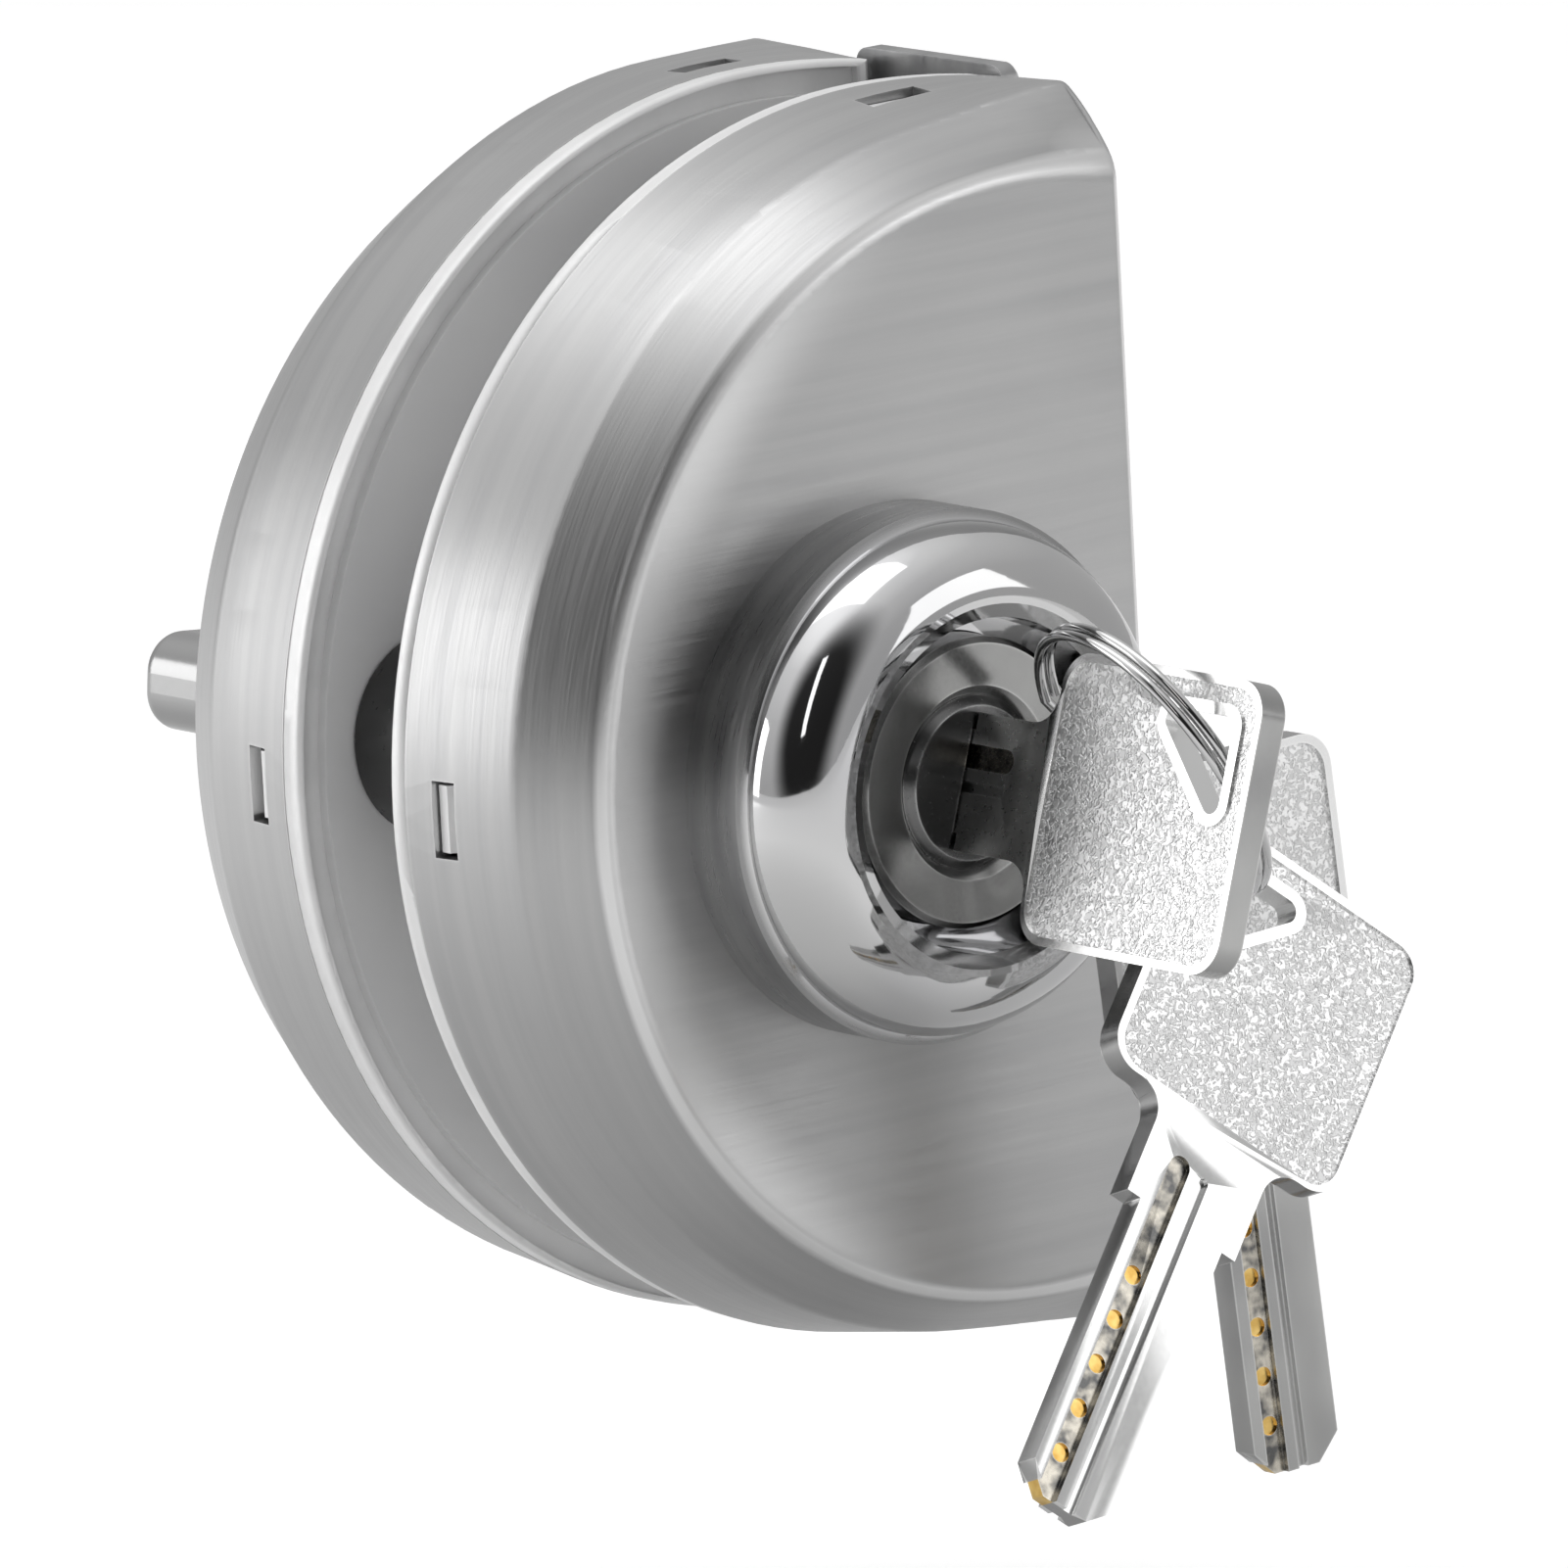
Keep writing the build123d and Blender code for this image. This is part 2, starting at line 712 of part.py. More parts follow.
def body_piece():
    """Cylinder body: plug bore, driver chambers and two screw holes at the back."""
    points = [
        (plug_radius, -cylinder_front_y + plug_rim),
        (plug_radius + plug_rim, -cylinder_front_y),
        (cylinder_radius - face_edge, -cylinder_front_y),
        (cylinder_radius, -cylinder_front_y + face_edge),
        (cylinder_radius, -base_inner_y),
        (plug_radius, -base_inner_y),
    ]
    body = around_lock(points)
    for y in pin_depths():
        place = (0, y, pin_z)
        chamber = across(pin_radius + pin_play, cylinder_radius + overrun, place, (1, 0, 0))
        body -= chamber
    for sign in (-1, 1):
        z = sign * cylinder_screw_reach
        body -= rod(small_radius + small_play, -pocket_y - cylinder_screw_length - overrun, 0, 0, z)
    return body


def shear_radius():
    """Distance along a pin from the plug's middle plane to the plug's surface."""
    return (plug_radius ** 2 - (abs(pin_z) + pin_radius) ** 2) ** 0.5


def key_pins_piece():
    """Key pins with tapered tips in the key's wide groove; key upright."""
    tip_x = half_key - groove_depth + pin_tip_gap
    end_x = shear_radius() - shear_gap
    pins = []
    for y in pin_depths():
        pin = Pos(0, 0, pin_tip_length / 2) * Cone(pin_tip_radius, pin_radius, pin_tip_length)
        pin += Pos(0, 0, pin_tip_length) * extrude(Circle(pin_radius), end_x - tip_x - pin_tip_length)
        pins.append(Plane(origin=(tip_x, y, pin_z), z_dir=(1, 0, 0)) * pin)
    return key_tilt * group(pins)


def driver_start():
    """Where the driver pins begin, just outside the plug."""
    return (plug_radius ** 2 - (abs(pin_z) - pin_radius) ** 2) ** 0.5 + shear_gap


def driver_pins_piece():
    """Driver pins in the body, lined up with the key pins when the key is upright."""
    starts = [(driver_start(), y, pin_z) for y in pin_depths()]
    return group([across(pin_radius, driver_length, place, (1, 0, 0)) for place in starts])


def pin_springs_piece():
    """Driver springs, as tubes."""
    start = driver_start() + driver_length
    section = Circle(pin_radius) - Circle(pin_radius - pin_spring_wall)
    springs = [
        Plane(origin=(start, y, pin_z), z_dir=(1, 0, 0)) * extrude(section, pin_spring_length)
        for y in pin_depths()
    ]
    return group(springs)


def pin_caps_piece():
    """Plugs that close the driver chambers, trimmed to the body's round outside."""
    start = driver_start() + driver_length + pin_spring_length
    caps = []
    for y in pin_depths():
        cap = across(pin_radius, cylinder_radius, (start, y, pin_z), (1, 0, 0))
        caps.append(cap & rod(cylinder_radius - pin_play, -cylinder_front_y, 0))
    return group(caps)


def snap_ring(inner, outer, start_y, thickness):
    """Open retaining ring in a groove."""
    ring = tube(outer, inner, start_y, start_y + thickness)
    low = (-inner / 2, start_y - overrun, 0)
    return ring - block(low, (inner / 2, start_y + thickness + overrun, outer + overrun))


def plug_clip_piece():
    """Clip behind the front base that holds the plug in; key upright, then turned."""
    start_y = -clip_y - clip_thickness
    return key_tilt * snap_ring(clip_inner_radius, clip_outer_radius, start_y, clip_thickness)


def stem_clip_piece():
    """Clip that holds the thumbturn's stem in its bearing."""
    start_y = bearing_inner_y - 2 * clip_play - clip_thickness
    return snap_ring(stem_groove_radius + clip_play, stem_clip_radius, start_y, clip_thickness)


def tailpiece_piece():
    """Flat bar from the plug's back into the cam."""
    low = (-tail_half_thickness, -keyway_end_y + case_wall + square_play, -tail_half_width)
    high = (tail_half_thickness, -case_wall - square_play, tail_half_width)
    return key_tilt * block(low, high)


def escutcheon_piece():
    """Domed ring on the cover's face, hollow behind, with a collar round the cylinder."""
    base = face_y
    collar = cylinder_radius + collar_play
    inner = ring_radius - ring_shell
    wall = [
        (ring_hole_radius, -base - ring_dome_height),
        (ring_hole_radius, -base - ring_collar_height),
        (collar, -base - ring_collar_height),
        (collar, -base - ring_collar_height + ring_collar_thickness),
        (inner, -base - ring_collar_height + ring_collar_thickness),
        (inner, -base),
        (ring_radius, -base),
        (ring_radius, -base - ring_wall_height),
        (ring_lip_radius, -base - ring_lip_height),
    ]
    dome_start = wall[-1]
    dome_end = (ring_dome_radius, -base - ring_height)
    rim_end = (ring_dome_radius - (ring_height - ring_dome_height), -base - ring_height)
    chord = Vector(*dome_end) - Vector(*dome_start)
    outward = Vector(chord.Y, -chord.X) * -dome_bulge_share
    crest = Vector(*dome_start) + chord / 2 + outward
    outline = Polyline(*wall)
    outline += ThreePointArc(dome_start, crest, dome_end)
    outline += Polyline(dome_end, rim_end, wall[0])
    return revolve(make_face(outline), Axis.Y)


def rose_piece():
    """Round rose under the thumbturn."""
    rose = tube(rose_radius, bearing_radius + bearing_play, face_y, face_y + rose_thickness)
    return fillet(rose.faces().sort_by(Axis.Y)[-1].edges().sort_by(SortBy.RADIUS)[-1], rose_edge)


def bearing_piece():
    """Sleeve that carries the thumbturn's stem in the rear base."""
    outer_y = face_y + rose_thickness - bearing_sunk
    return tube(bearing_radius, stem_radius + stem_play, bearing_inner_y, outer_y)


def level_plane(y):
    """Plane across the turning axis at a depth, with its first direction along X."""
    return Plane(origin=(0, y, 0), x_dir=(1, 0, 0), z_dir=(0, 1, 0))


def thumbturn_piece():
    """Round foot that narrows to a waist and flares into a wide grip, with its stem."""
    foot_y = face_y + rose_thickness + thumb_gap
    foot = rod(thumb_foot_radius, foot_y, foot_y + thumb_foot_height)
    foot = fillet(foot.faces().sort_by(Axis.Y)[-1].edges(), thumb_foot_round)
    waist_y = foot_y + thumb_waist_height
    grip_y = foot_y + thumb_length - thumb_grip_depth
    end_y = foot_y + thumb_length
    low = level_plane(foot_y + thumb_foot_height / 2)
    mid = level_plane(waist_y)
    top = level_plane(grip_y)
    grip_corner = thumb_half_height - thumb_round / 2
    grip_outline = RectangleRounded(2 * thumb_half_length, 2 * thumb_half_height, grip_corner)
    waist = mid * Ellipse(thumb_waist_radius, thumb_half_height + thumb_round)
    flare = loft([low * Circle(thumb_waist_radius), waist])
    flare += loft([waist, top * grip_outline])
    grip = extrude(top * grip_outline, end_y - grip_y)
    grip = fillet(grip.faces().sort_by(Axis.Y)[-1].edges(), thumb_round)
    stem = rod(stem_radius, stem_end_y, foot_y + thumb_foot_height / 2)
    groove_y = bearing_inner_y - clip_play - clip_thickness - clip_play
    stem -= tube(stem_radius + overrun, stem_groove_radius, groove_y, bearing_inner_y - clip_play)
    thumb = foot + flare + grip + stem
    square = square_half + square_play
    socket = block((-square, stem_end_y - overrun, -square), (square, foot_y + thumb_foot_height, square))
    return Rot(0, thumb_rest_angle, 0) * thumb - key_tilt * socket


def spindle_piece():
    """Square spindle from the thumbturn's stem into the cam."""
    end_y = face_y + rose_thickness + thumb_gap + thumb_foot_height
    bar = block((-square_half, case_wall, -square_half), (square_half, end_y - square_play, square_half))
    return key_tilt * bar


def bushes_piece():
    """Plastic bushes round the clamp screws, between the pads."""
    bushes = []
    for x, z, radius in clamp_places():
        bush = tube(radius, clamp_radius + bush_play, -half_gap, half_gap, x, z)
        outer = bush.edges().filter_by(GeomType.CIRCLE).group_by(SortBy.RADIUS)[-1]
        bushes.append(fillet(outer, bush_edge))
    return group(bushes)


def clamp_screws_piece():
    """Button-headed screws from the front base through the bushes into the rear base."""
    screws = []
    head_y = base_inner_y + rib_height / 2
    for x, z, _ in clamp_places():
        head = rod(clamp_head_radius, -head_y - clamp_head_height, -head_y, x, z)
        head = fillet(head.faces().sort_by(Axis.Y)[0].edges(), clamp_head_round)
        socket = Plane(origin=(x, -head_y - clamp_head_height, z), z_dir=(0, 1, 0))
        head -= socket * extrude(RegularPolygon(clamp_socket_radius, socket_sides), clamp_socket_depth)
        shank = rod(clamp_radius, -head_y, base_inner_y + clamp_boss_height - overrun, x, z)
        screws.append(head + shank)
    return group(screws)


def key_outline():
    """Flat outline of a key: square head, neck with stops and blade, from the head's end along -X."""
    neck_x = -head_length - neck_length
    half_head = head_width / 2
    half_neck = neck_width / 2
    half_blade = blade_width / 2
    head = RectangleRounded(head_length, head_width, head_corner)
    outline = Pos(-head_length / 2, 0) * head
    neck = make_face(Polyline(
        (-head_length + head_corner, half_neck),
        (neck_x, half_neck),
        (neck_x, -half_neck),
        (-head_length + head_corner, -half_neck),
        close=True,
    ))
    blade = make_face(Polyline(
        (neck_x + overrun, half_blade),
        (-key_length + blade_tip_corner, half_blade),
        (-key_length, half_blade - blade_tip_corner),
        (-key_length, -half_blade + blade_tip_corner),
        (-key_length + blade_tip_corner, -half_blade),
        (neck_x + overrun, -half_blade),
        close=True,
    ))
    outline = outline + neck
    corners = [
        outline.vertices().sort_by_distance((-head_length, side * half_neck, 0))[0]
        for side in (-1, 1)
    ]
    shoulder = half_head - head_corner - half_neck
    return fillet(corners, min(neck_round, neck_round_limit_share * shoulder)) + blade


def hole_outline(grow=0.0):
    """Rounded triangle near the head's end corner."""
    end_x = -hole_edge
    top_y = head_width / 2 - hole_edge
    corner = hole_corner + grow
    triangle = make_face(Polyline(
        (end_x, top_y),
        (end_x - hole_width, top_y),
        (end_x, top_y - hole_height),
        close=True,
    ))
    triangle = fillet(triangle.vertices(), hole_corner)
    return offset(triangle, amount=grow) if grow else triangle


def key_piece():
    """One key in its own frame: +X out of the head's end, +Y across it, +Z its front face."""
    key = extrude(key_outline(), half_key, both=True)
    key -= extrude(hole_outline(), key_thickness, both=True)
    panel = Pos((-head_length + panel_foot - panel_margin) / 2, 0) * RectangleRounded(
        head_length - panel_foot - panel_margin,
        head_width - 2 * panel_margin,
        head_corner - panel_margin / 2,
    )
    panel -= hole_outline(hole_rim)
    pocket = Pos(0, 0, half_key - panel_depth) * extrude(panel, overrun)
    start_x = -head_length - groove_start
    face = pocket
    for v, width in ((wide_groove_v, wide_groove_width), (narrow_groove_v, narrow_groove_width)):
        low = (-key_length - overrun, v - width / 2, half_key - groove_depth)
        face += block(low, (start_x, v + width / 2, half_key + overrun))
        end = across(width / 2, groove_depth + overrun, (start_x, v, half_key - groove_depth))
        face += end
    for y in pin_depths():
        x = y + key_end_y
        place = (-x, wide_groove_v, half_key - groove_depth - dimple_depth)
        face += across(dimple_radius, groove_depth, place)
    key -= face
    key -= mirror(face, about=Plane.XY)
    return key


def key_in_lock():
    """The key that stands in the plug, turned with it."""
    frame = Plane(origin=(0, -key_end_y, 0), x_dir=(0, -1, 0), z_dir=(-1, 0, 0))
    return key_tilt * (frame * key_piece())


def hanging_key(end, out_share, face_share):
    """A key on the ring, placed by the middle of its head's end."""
    return key_ring_place * (Plane(origin=end, x_dir=out_share, z_dir=face_share) * key_piece())


def split_ring_piece():
    """Two turns of wire side by side, joined by a short jog."""
    frame = Plane(origin=ring_centre, x_dir=ring_start_share, z_dir=ring_axis_share)
    half_jog = ring_jog_span / 2
    turns = []
    ends = []
    for side in (-1, 1):
        z = side * ring_pitch / 2
        start = ring_jog_angle + half_jog
        section = Plane(origin=(ring_turn_radius, 0, z), z_dir=(0, 1, 0)) * Circle(ring_wire_radius)
        turn = revolve(section, Axis.Z, 360 - ring_jog_span)
        turns.append(Rot(0, 0, start) * turn)
        angle = radians(ring_jog_angle - side * half_jog)
        ends.append((ring_turn_radius * cos(angle), ring_turn_radius * sin(angle), z, angle))
    sections = []
    for x, y, z, angle in ends:
        along = (-sin(angle), cos(angle), 0)
        sections.append(Plane(origin=(x, y, z), z_dir=along) * Circle(ring_wire_radius))
    jog = loft(sections, ruled=True)
    ring = turns[0] + turns[1] + jog
    return key_ring_place * (frame * ring)


def cylinder_screws_piece():
    """Two screws from the pad's side into the cylinder body."""
    places = [(0, -pocket_y, sign * cylinder_screw_reach) for sign in (-1, 1)]
    return group([small_screw(place, (0, -1, 0), cylinder_screw_length) for place in places])


def case_screws_piece():
    """Four screws that hold the case's lid."""
    places = [(x, -case_half_depth, z) for x, z in case_screw_places()]
    return group([small_screw(place, (0, 1, 0), case_screw_length) for place in places])


def edge_plate_screws_piece():
    """Two screws through the edge plate into the case's lugs."""
    places = [(plate_face_x, 0, sign * plate_screw_z) for sign in (-1, 1)]
    return group([small_screw(place, (-1, 0, 0), plate_screw_length) for place in places])


def save(name, shape):
    """Write one sub-part."""
    export_step(shape, f"parts/{name}.step")


os.makedirs("parts", exist_ok=True)
cover = cover_shell()
rear_cover = mirror(cover, about=Plane.XZ)
pad = pad_piece()
save("front_cover", cover - rod(cylinder_radius + collar_play, -face_y - overrun, 0))
save("rear_cover", rear_cover - rod(bearing_radius + bearing_play, 0, face_y + overrun))
save("front_base", front_base_piece())
save("rear_base", rear_base_piece())
save("front_pad", pad)
save("rear_pad", mirror(pad, about=Plane.XZ))
save("lock_case", case_piece())
save("case_lid", lid_piece())
save("edge_plate", edge_plate_piece())
save("deadbolt", bolt_piece())
save("detent_ball", ball_piece())
save("detent_spring", detent_spring_piece())
save("drive_cam", cam_piece())
save("cylinder_body", body_piece())
save("cylinder_plug", plug_piece())
save("key_pins", key_pins_piece())
save("driver_pins", driver_pins_piece())
save("pin_springs", pin_springs_piece())
save("pin_caps", pin_caps_piece())
save("plug_clip", plug_clip_piece())
save("tailpiece", tailpiece_piece())
save("escutcheon_ring", escutcheon_piece())
save("thumb_rose", rose_piece())
save("thumb_bearing", bearing_piece())
save("thumbturn", thumbturn_piece())
save("stem_clip", stem_clip_piece())
save("thumb_spindle", spindle_piece())
save("glass_bushes", bushes_piece())
save("clamp_screws", clamp_screws_piece())
save("cylinder_screws", cylinder_screws_piece())
save("case_screws", case_screws_piece())
save("edge_plate_screws", edge_plate_screws_piece())
save("key_in_lock", key_in_lock())
save("hanging_key", hanging_key(key_two_end, key_two_out_share, key_two_face_share))
save("rear_hanging_key", hanging_key(key_three_end, key_three_out_share, key_three_face_share))
save("key_ring", split_ring_piece())
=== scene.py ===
import math

import bmesh
import bpy
from mathutils import Matrix, Vector


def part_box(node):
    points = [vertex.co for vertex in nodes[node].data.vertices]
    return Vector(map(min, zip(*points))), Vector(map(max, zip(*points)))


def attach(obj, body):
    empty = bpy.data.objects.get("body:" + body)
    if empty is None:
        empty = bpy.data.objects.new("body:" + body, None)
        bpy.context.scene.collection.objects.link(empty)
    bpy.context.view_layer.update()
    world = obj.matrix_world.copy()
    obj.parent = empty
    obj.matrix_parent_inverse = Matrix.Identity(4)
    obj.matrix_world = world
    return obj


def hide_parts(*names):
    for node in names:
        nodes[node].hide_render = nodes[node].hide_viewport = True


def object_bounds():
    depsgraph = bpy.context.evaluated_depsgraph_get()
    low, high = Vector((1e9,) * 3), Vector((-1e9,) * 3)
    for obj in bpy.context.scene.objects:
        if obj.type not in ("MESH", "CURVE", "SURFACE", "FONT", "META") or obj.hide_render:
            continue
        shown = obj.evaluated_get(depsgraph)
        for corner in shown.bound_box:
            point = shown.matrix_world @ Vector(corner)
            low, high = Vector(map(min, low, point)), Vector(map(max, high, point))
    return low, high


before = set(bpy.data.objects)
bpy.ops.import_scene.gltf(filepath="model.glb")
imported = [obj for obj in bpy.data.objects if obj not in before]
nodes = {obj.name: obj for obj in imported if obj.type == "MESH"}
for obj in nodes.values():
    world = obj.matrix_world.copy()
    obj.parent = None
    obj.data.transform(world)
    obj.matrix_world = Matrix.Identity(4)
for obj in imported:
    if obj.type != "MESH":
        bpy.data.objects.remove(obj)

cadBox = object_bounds()
mm = 0.001  # the scene is in metres, and settings are in millimetres where they are multiplied by this
mergeDistance = 0.000002  # metres
print("frame loaded:", len(nodes), "nodes")


# helpers for shader nodes

def addNode(tree, kind, x, y, **settings):
    made = tree.nodes.new(kind)
    made.location = (x, y)
    for key, value in settings.items():
        setattr(made, key, value)
    return made


def rangeNode(tree, x, y, value, fromMin, fromMax, **settings):
    spread = addNode(tree, "ShaderNodeMapRange", x, y, **settings)
    spread.inputs["From Min"].default_value = fromMin
    spread.inputs["From Max"].default_value = fromMax
    tree.links.new(value, spread.inputs["Value"])
    return spread.outputs["Result"]


def multiply(tree, x, y, first, second):
    product = addNode(tree, "ShaderNodeMath", x, y, operation="MULTIPLY")
    tree.links.new(first, product.inputs[0])
    tree.links.new(second, product.inputs[1])
    return product.outputs["Value"]


def newGroup(name, inputs, outputs):
    group = bpy.data.node_groups.new(name, "ShaderNodeTree")
    for label, socketType, value in inputs:
        socket = group.interface.new_socket(name=label, in_out="INPUT", socket_type=socketType)
        if value is not None:
            socket.default_value = value
    for label, socketType in outputs:
        group.interface.new_socket(name=label, in_out="OUTPUT", socket_type=socketType)
    entry = addNode(group, "NodeGroupInput", -900, 0)
    leave = addNode(group, "NodeGroupOutput", 700, 0)
    return group, entry, leave


brushNoise = dict(
    fineDetail=3.0, fineFrom=0.3, fineTo=0.7, wideScale=0.16, wideDetail=2.0, wideFrom=0.32, wideTo=0.68)


def noiseNode(tree, x, y, vector, detail, scale=1.0):
    noise = addNode(tree, "ShaderNodeTexNoise", x, y)
    noise.inputs["Scale"].default_value = scale
    noise.inputs["Detail"].default_value = detail
    tree.links.new(vector, noise.inputs["Vector"])
    return noise


def makeBrushGroup(s):
    group, entry, leave = newGroup(
        "brushLines",
        [("Vector", "NodeSocketVector", None), ("Stretch", "NodeSocketVector", (100.0, 4000.0, 4000.0))],
        [("Lines", "NodeSocketFloat"), ("Streaks", "NodeSocketFloat")])
    mapping = addNode(group, "ShaderNodeMapping", -650, 0)
    group.links.new(entry.outputs["Vector"], mapping.inputs["Vector"])
    group.links.new(entry.outputs["Stretch"], mapping.inputs["Scale"])
    fine = noiseNode(group, -400, 120, mapping.outputs["Vector"], s["fineDetail"])
    wide = noiseNode(group, -400, -160, mapping.outputs["Vector"], s["wideDetail"], s["wideScale"])
    lines = rangeNode(group, -150, 120, fine.outputs["Fac"], s["fineFrom"], s["fineTo"])
    streaks = rangeNode(group, -150, -160, wide.outputs["Fac"], s["wideFrom"], s["wideTo"])
    group.links.new(lines, leave.inputs["Lines"])
    group.links.new(streaks, leave.inputs["Streaks"])
    return group


speckleNoise = dict(grainDetail=4.0, blotchDetail=2.0, blotchFrom=0.35, blotchTo=0.65)


def makeSpeckleGroup(s):
    group, entry, leave = newGroup(
        "speckle",
        [("Vector", "NodeSocketVector", None), ("Grain size", "NodeSocketFloat", 1500.0),
         ("Blotch size", "NodeSocketFloat", 90.0)],
        [("Grain", "NodeSocketFloat"), ("Blotch", "NodeSocketFloat")])
    grain = noiseNode(group, -500, 120, entry.outputs["Vector"], s["grainDetail"])
    blotch = noiseNode(group, -500, -160, entry.outputs["Vector"], s["blotchDetail"])
    group.links.new(entry.outputs["Grain size"], grain.inputs["Scale"])
    group.links.new(entry.outputs["Blotch size"], blotch.inputs["Scale"])
    blotches = rangeNode(group, -200, -160, blotch.outputs["Fac"], s["blotchFrom"], s["blotchTo"])
    group.links.new(grain.outputs["Fac"], leave.inputs["Grain"])
    group.links.new(blotches, leave.inputs["Blotch"])
    return group


edgeFinder = dict(samples=4, flush=0.995, sharp=0.86)  # how alike the soft and the true normal are


# edge tint: where the soft normal parts from the true one, the colour turns to the finish's edge tone,
# which is rubbed wear and also a painted highlight along the rounded edges
def makeEdgeGroup(s):
    group, entry, leave = newGroup(
        "edgeRubAndHighlight",
        [("Width", "NodeSocketFloat", 0.0004), ("Break up", "NodeSocketFloat", 0.5)],
        [("Edge", "NodeSocketFloat")])
    soft = addNode(group, "ShaderNodeBevel", -600, 100)
    soft.samples = s["samples"]
    here = addNode(group, "ShaderNodeNewGeometry", -600, -120)
    alike = addNode(group, "ShaderNodeVectorMath", -350, 0, operation="DOT_PRODUCT")
    group.links.new(entry.outputs["Width"], soft.inputs["Radius"])
    group.links.new(soft.outputs["Normal"], alike.inputs[0])
    group.links.new(here.outputs["Normal"], alike.inputs[1])
    brightMask = rangeNode(group, -100, 0, alike.outputs["Value"], s["flush"], s["sharp"])
    group.links.new(multiply(group, 200, 0, brightMask, entry.outputs["Break up"]), leave.inputs["Edge"])
    return group


brushGroup = makeBrushGroup(brushNoise)
speckleGroup = makeSpeckleGroup(speckleNoise)
edgeRubHighlightGroup = makeEdgeGroup(edgeFinder)


def startMaterial(name, metallic):
    made = bpy.data.materials.new(name)
    made.use_nodes = True
    tree = made.node_tree
    shader = tree.nodes["Principled BSDF"]
    shader.inputs["Metallic"].default_value = metallic
    where = addNode(tree, "ShaderNodeTexCoord", -1500, 0)
    return made, tree, shader, where


def groupNode(tree, group, x, y, where=None, **values):
    placed = addNode(tree, "ShaderNodeGroup", x, y)
    placed.node_tree = group
    if where is not None:
        tree.links.new(where.outputs["Object"], placed.inputs["Vector"])
    for key, value in values.items():
        placed.inputs[key.replace("_", " ")].default_value = value
    return placed


def mixColour(tree, x, y, first, second, factor):
    mixer = addNode(tree, "ShaderNodeMix", x, y, data_type="RGBA")
    for slot, value in ((6, first), (7, second)):
        if isinstance(value, tuple):
            mixer.inputs[slot].default_value = (*value, 1.0)
        else:
            tree.links.new(value, mixer.inputs[slot])
    tree.links.new(factor, mixer.inputs[0])
    return mixer.outputs[2]


def mixValue(tree, x, y, low, high, factor):
    spread = addNode(tree, "ShaderNodeMapRange", x, y)
    spread.inputs["To Min"].default_value = low
    spread.inputs["To Max"].default_value = high
    tree.links.new(factor, spread.inputs["Value"])
    return spread.outputs["Result"]


lineDepth = 0.00002  # depths of the relief, in metres
fineDepth = 0.00001
grainDepth = 0.00002
pebbleGrainDepth = 0.00003


def bumpFrom(tree, x, y, height, strength, distance, before=None):
    bump = addNode(tree, "ShaderNodeBump", x, y)
    bump.inputs["Strength"].default_value = strength
    bump.inputs["Distance"].default_value = distance
    tree.links.new(height, bump.inputs["Height"])
    if before is not None:
        tree.links.new(before, bump.inputs["Normal"])
    return bump.outputs["Normal"]


def speckleNode(tree, x, y, where, s):
    return groupNode(tree, speckleGroup, x, y, where, Grain_size=s["grain"], Blotch_size=s["blotch"])


metresPerRadian = 0.05  # about the covers' radius, so that lines round the arc keep their width


def makeRoundGroup():
    group, entry, leave = newGroup(
        "roundPlace", [("Vector", "NodeSocketVector", None), ("Centre x", "NodeSocketFloat", 0.0)],
        [("Vector", "NodeSocketVector"), ("Radius", "NodeSocketFloat")])
    split = addNode(group, "ShaderNodeSeparateXYZ", -650, 0)
    shift = addNode(group, "ShaderNodeMath", -450, 150, operation="SUBTRACT")
    turn = addNode(group, "ShaderNodeMath", -250, 150, operation="ARCTAN2")
    arc = addNode(group, "ShaderNodeMath", -50, 150, operation="MULTIPLY")
    arc.inputs[1].default_value = metresPerRadian
    flat = addNode(group, "ShaderNodeCombineXYZ", -250, -100)
    size = addNode(group, "ShaderNodeVectorMath", -50, -100, operation="LENGTH")
    join = addNode(group, "ShaderNodeCombineXYZ", 200, 0)
    link = group.links.new
    link(entry.outputs["Vector"], split.inputs["Vector"])
    link(entry.outputs["Centre x"], shift.inputs[0])
    link(split.outputs["X"], shift.inputs[1])
    link(split.outputs["Z"], turn.inputs[0])
    link(shift.outputs["Value"], turn.inputs[1])
    link(turn.outputs["Value"], arc.inputs[0])
    link(shift.outputs["Value"], flat.inputs["X"])
    link(split.outputs["Z"], flat.inputs["Z"])
    link(flat.outputs["Vector"], size.inputs[0])
    link(arc.outputs["Value"], join.inputs["X"])
    link(split.outputs["Y"], join.inputs["Y"])
    link(size.outputs["Value"], join.inputs["Z"])
    link(join.outputs["Vector"], leave.inputs["Vector"])
    link(size.outputs["Value"], leave.inputs["Radius"])
    return group


roundGroup = makeRoundGroup()

flatFacing = (0.75, 0.92)  # past this the brushing runs straight, before it round the arc


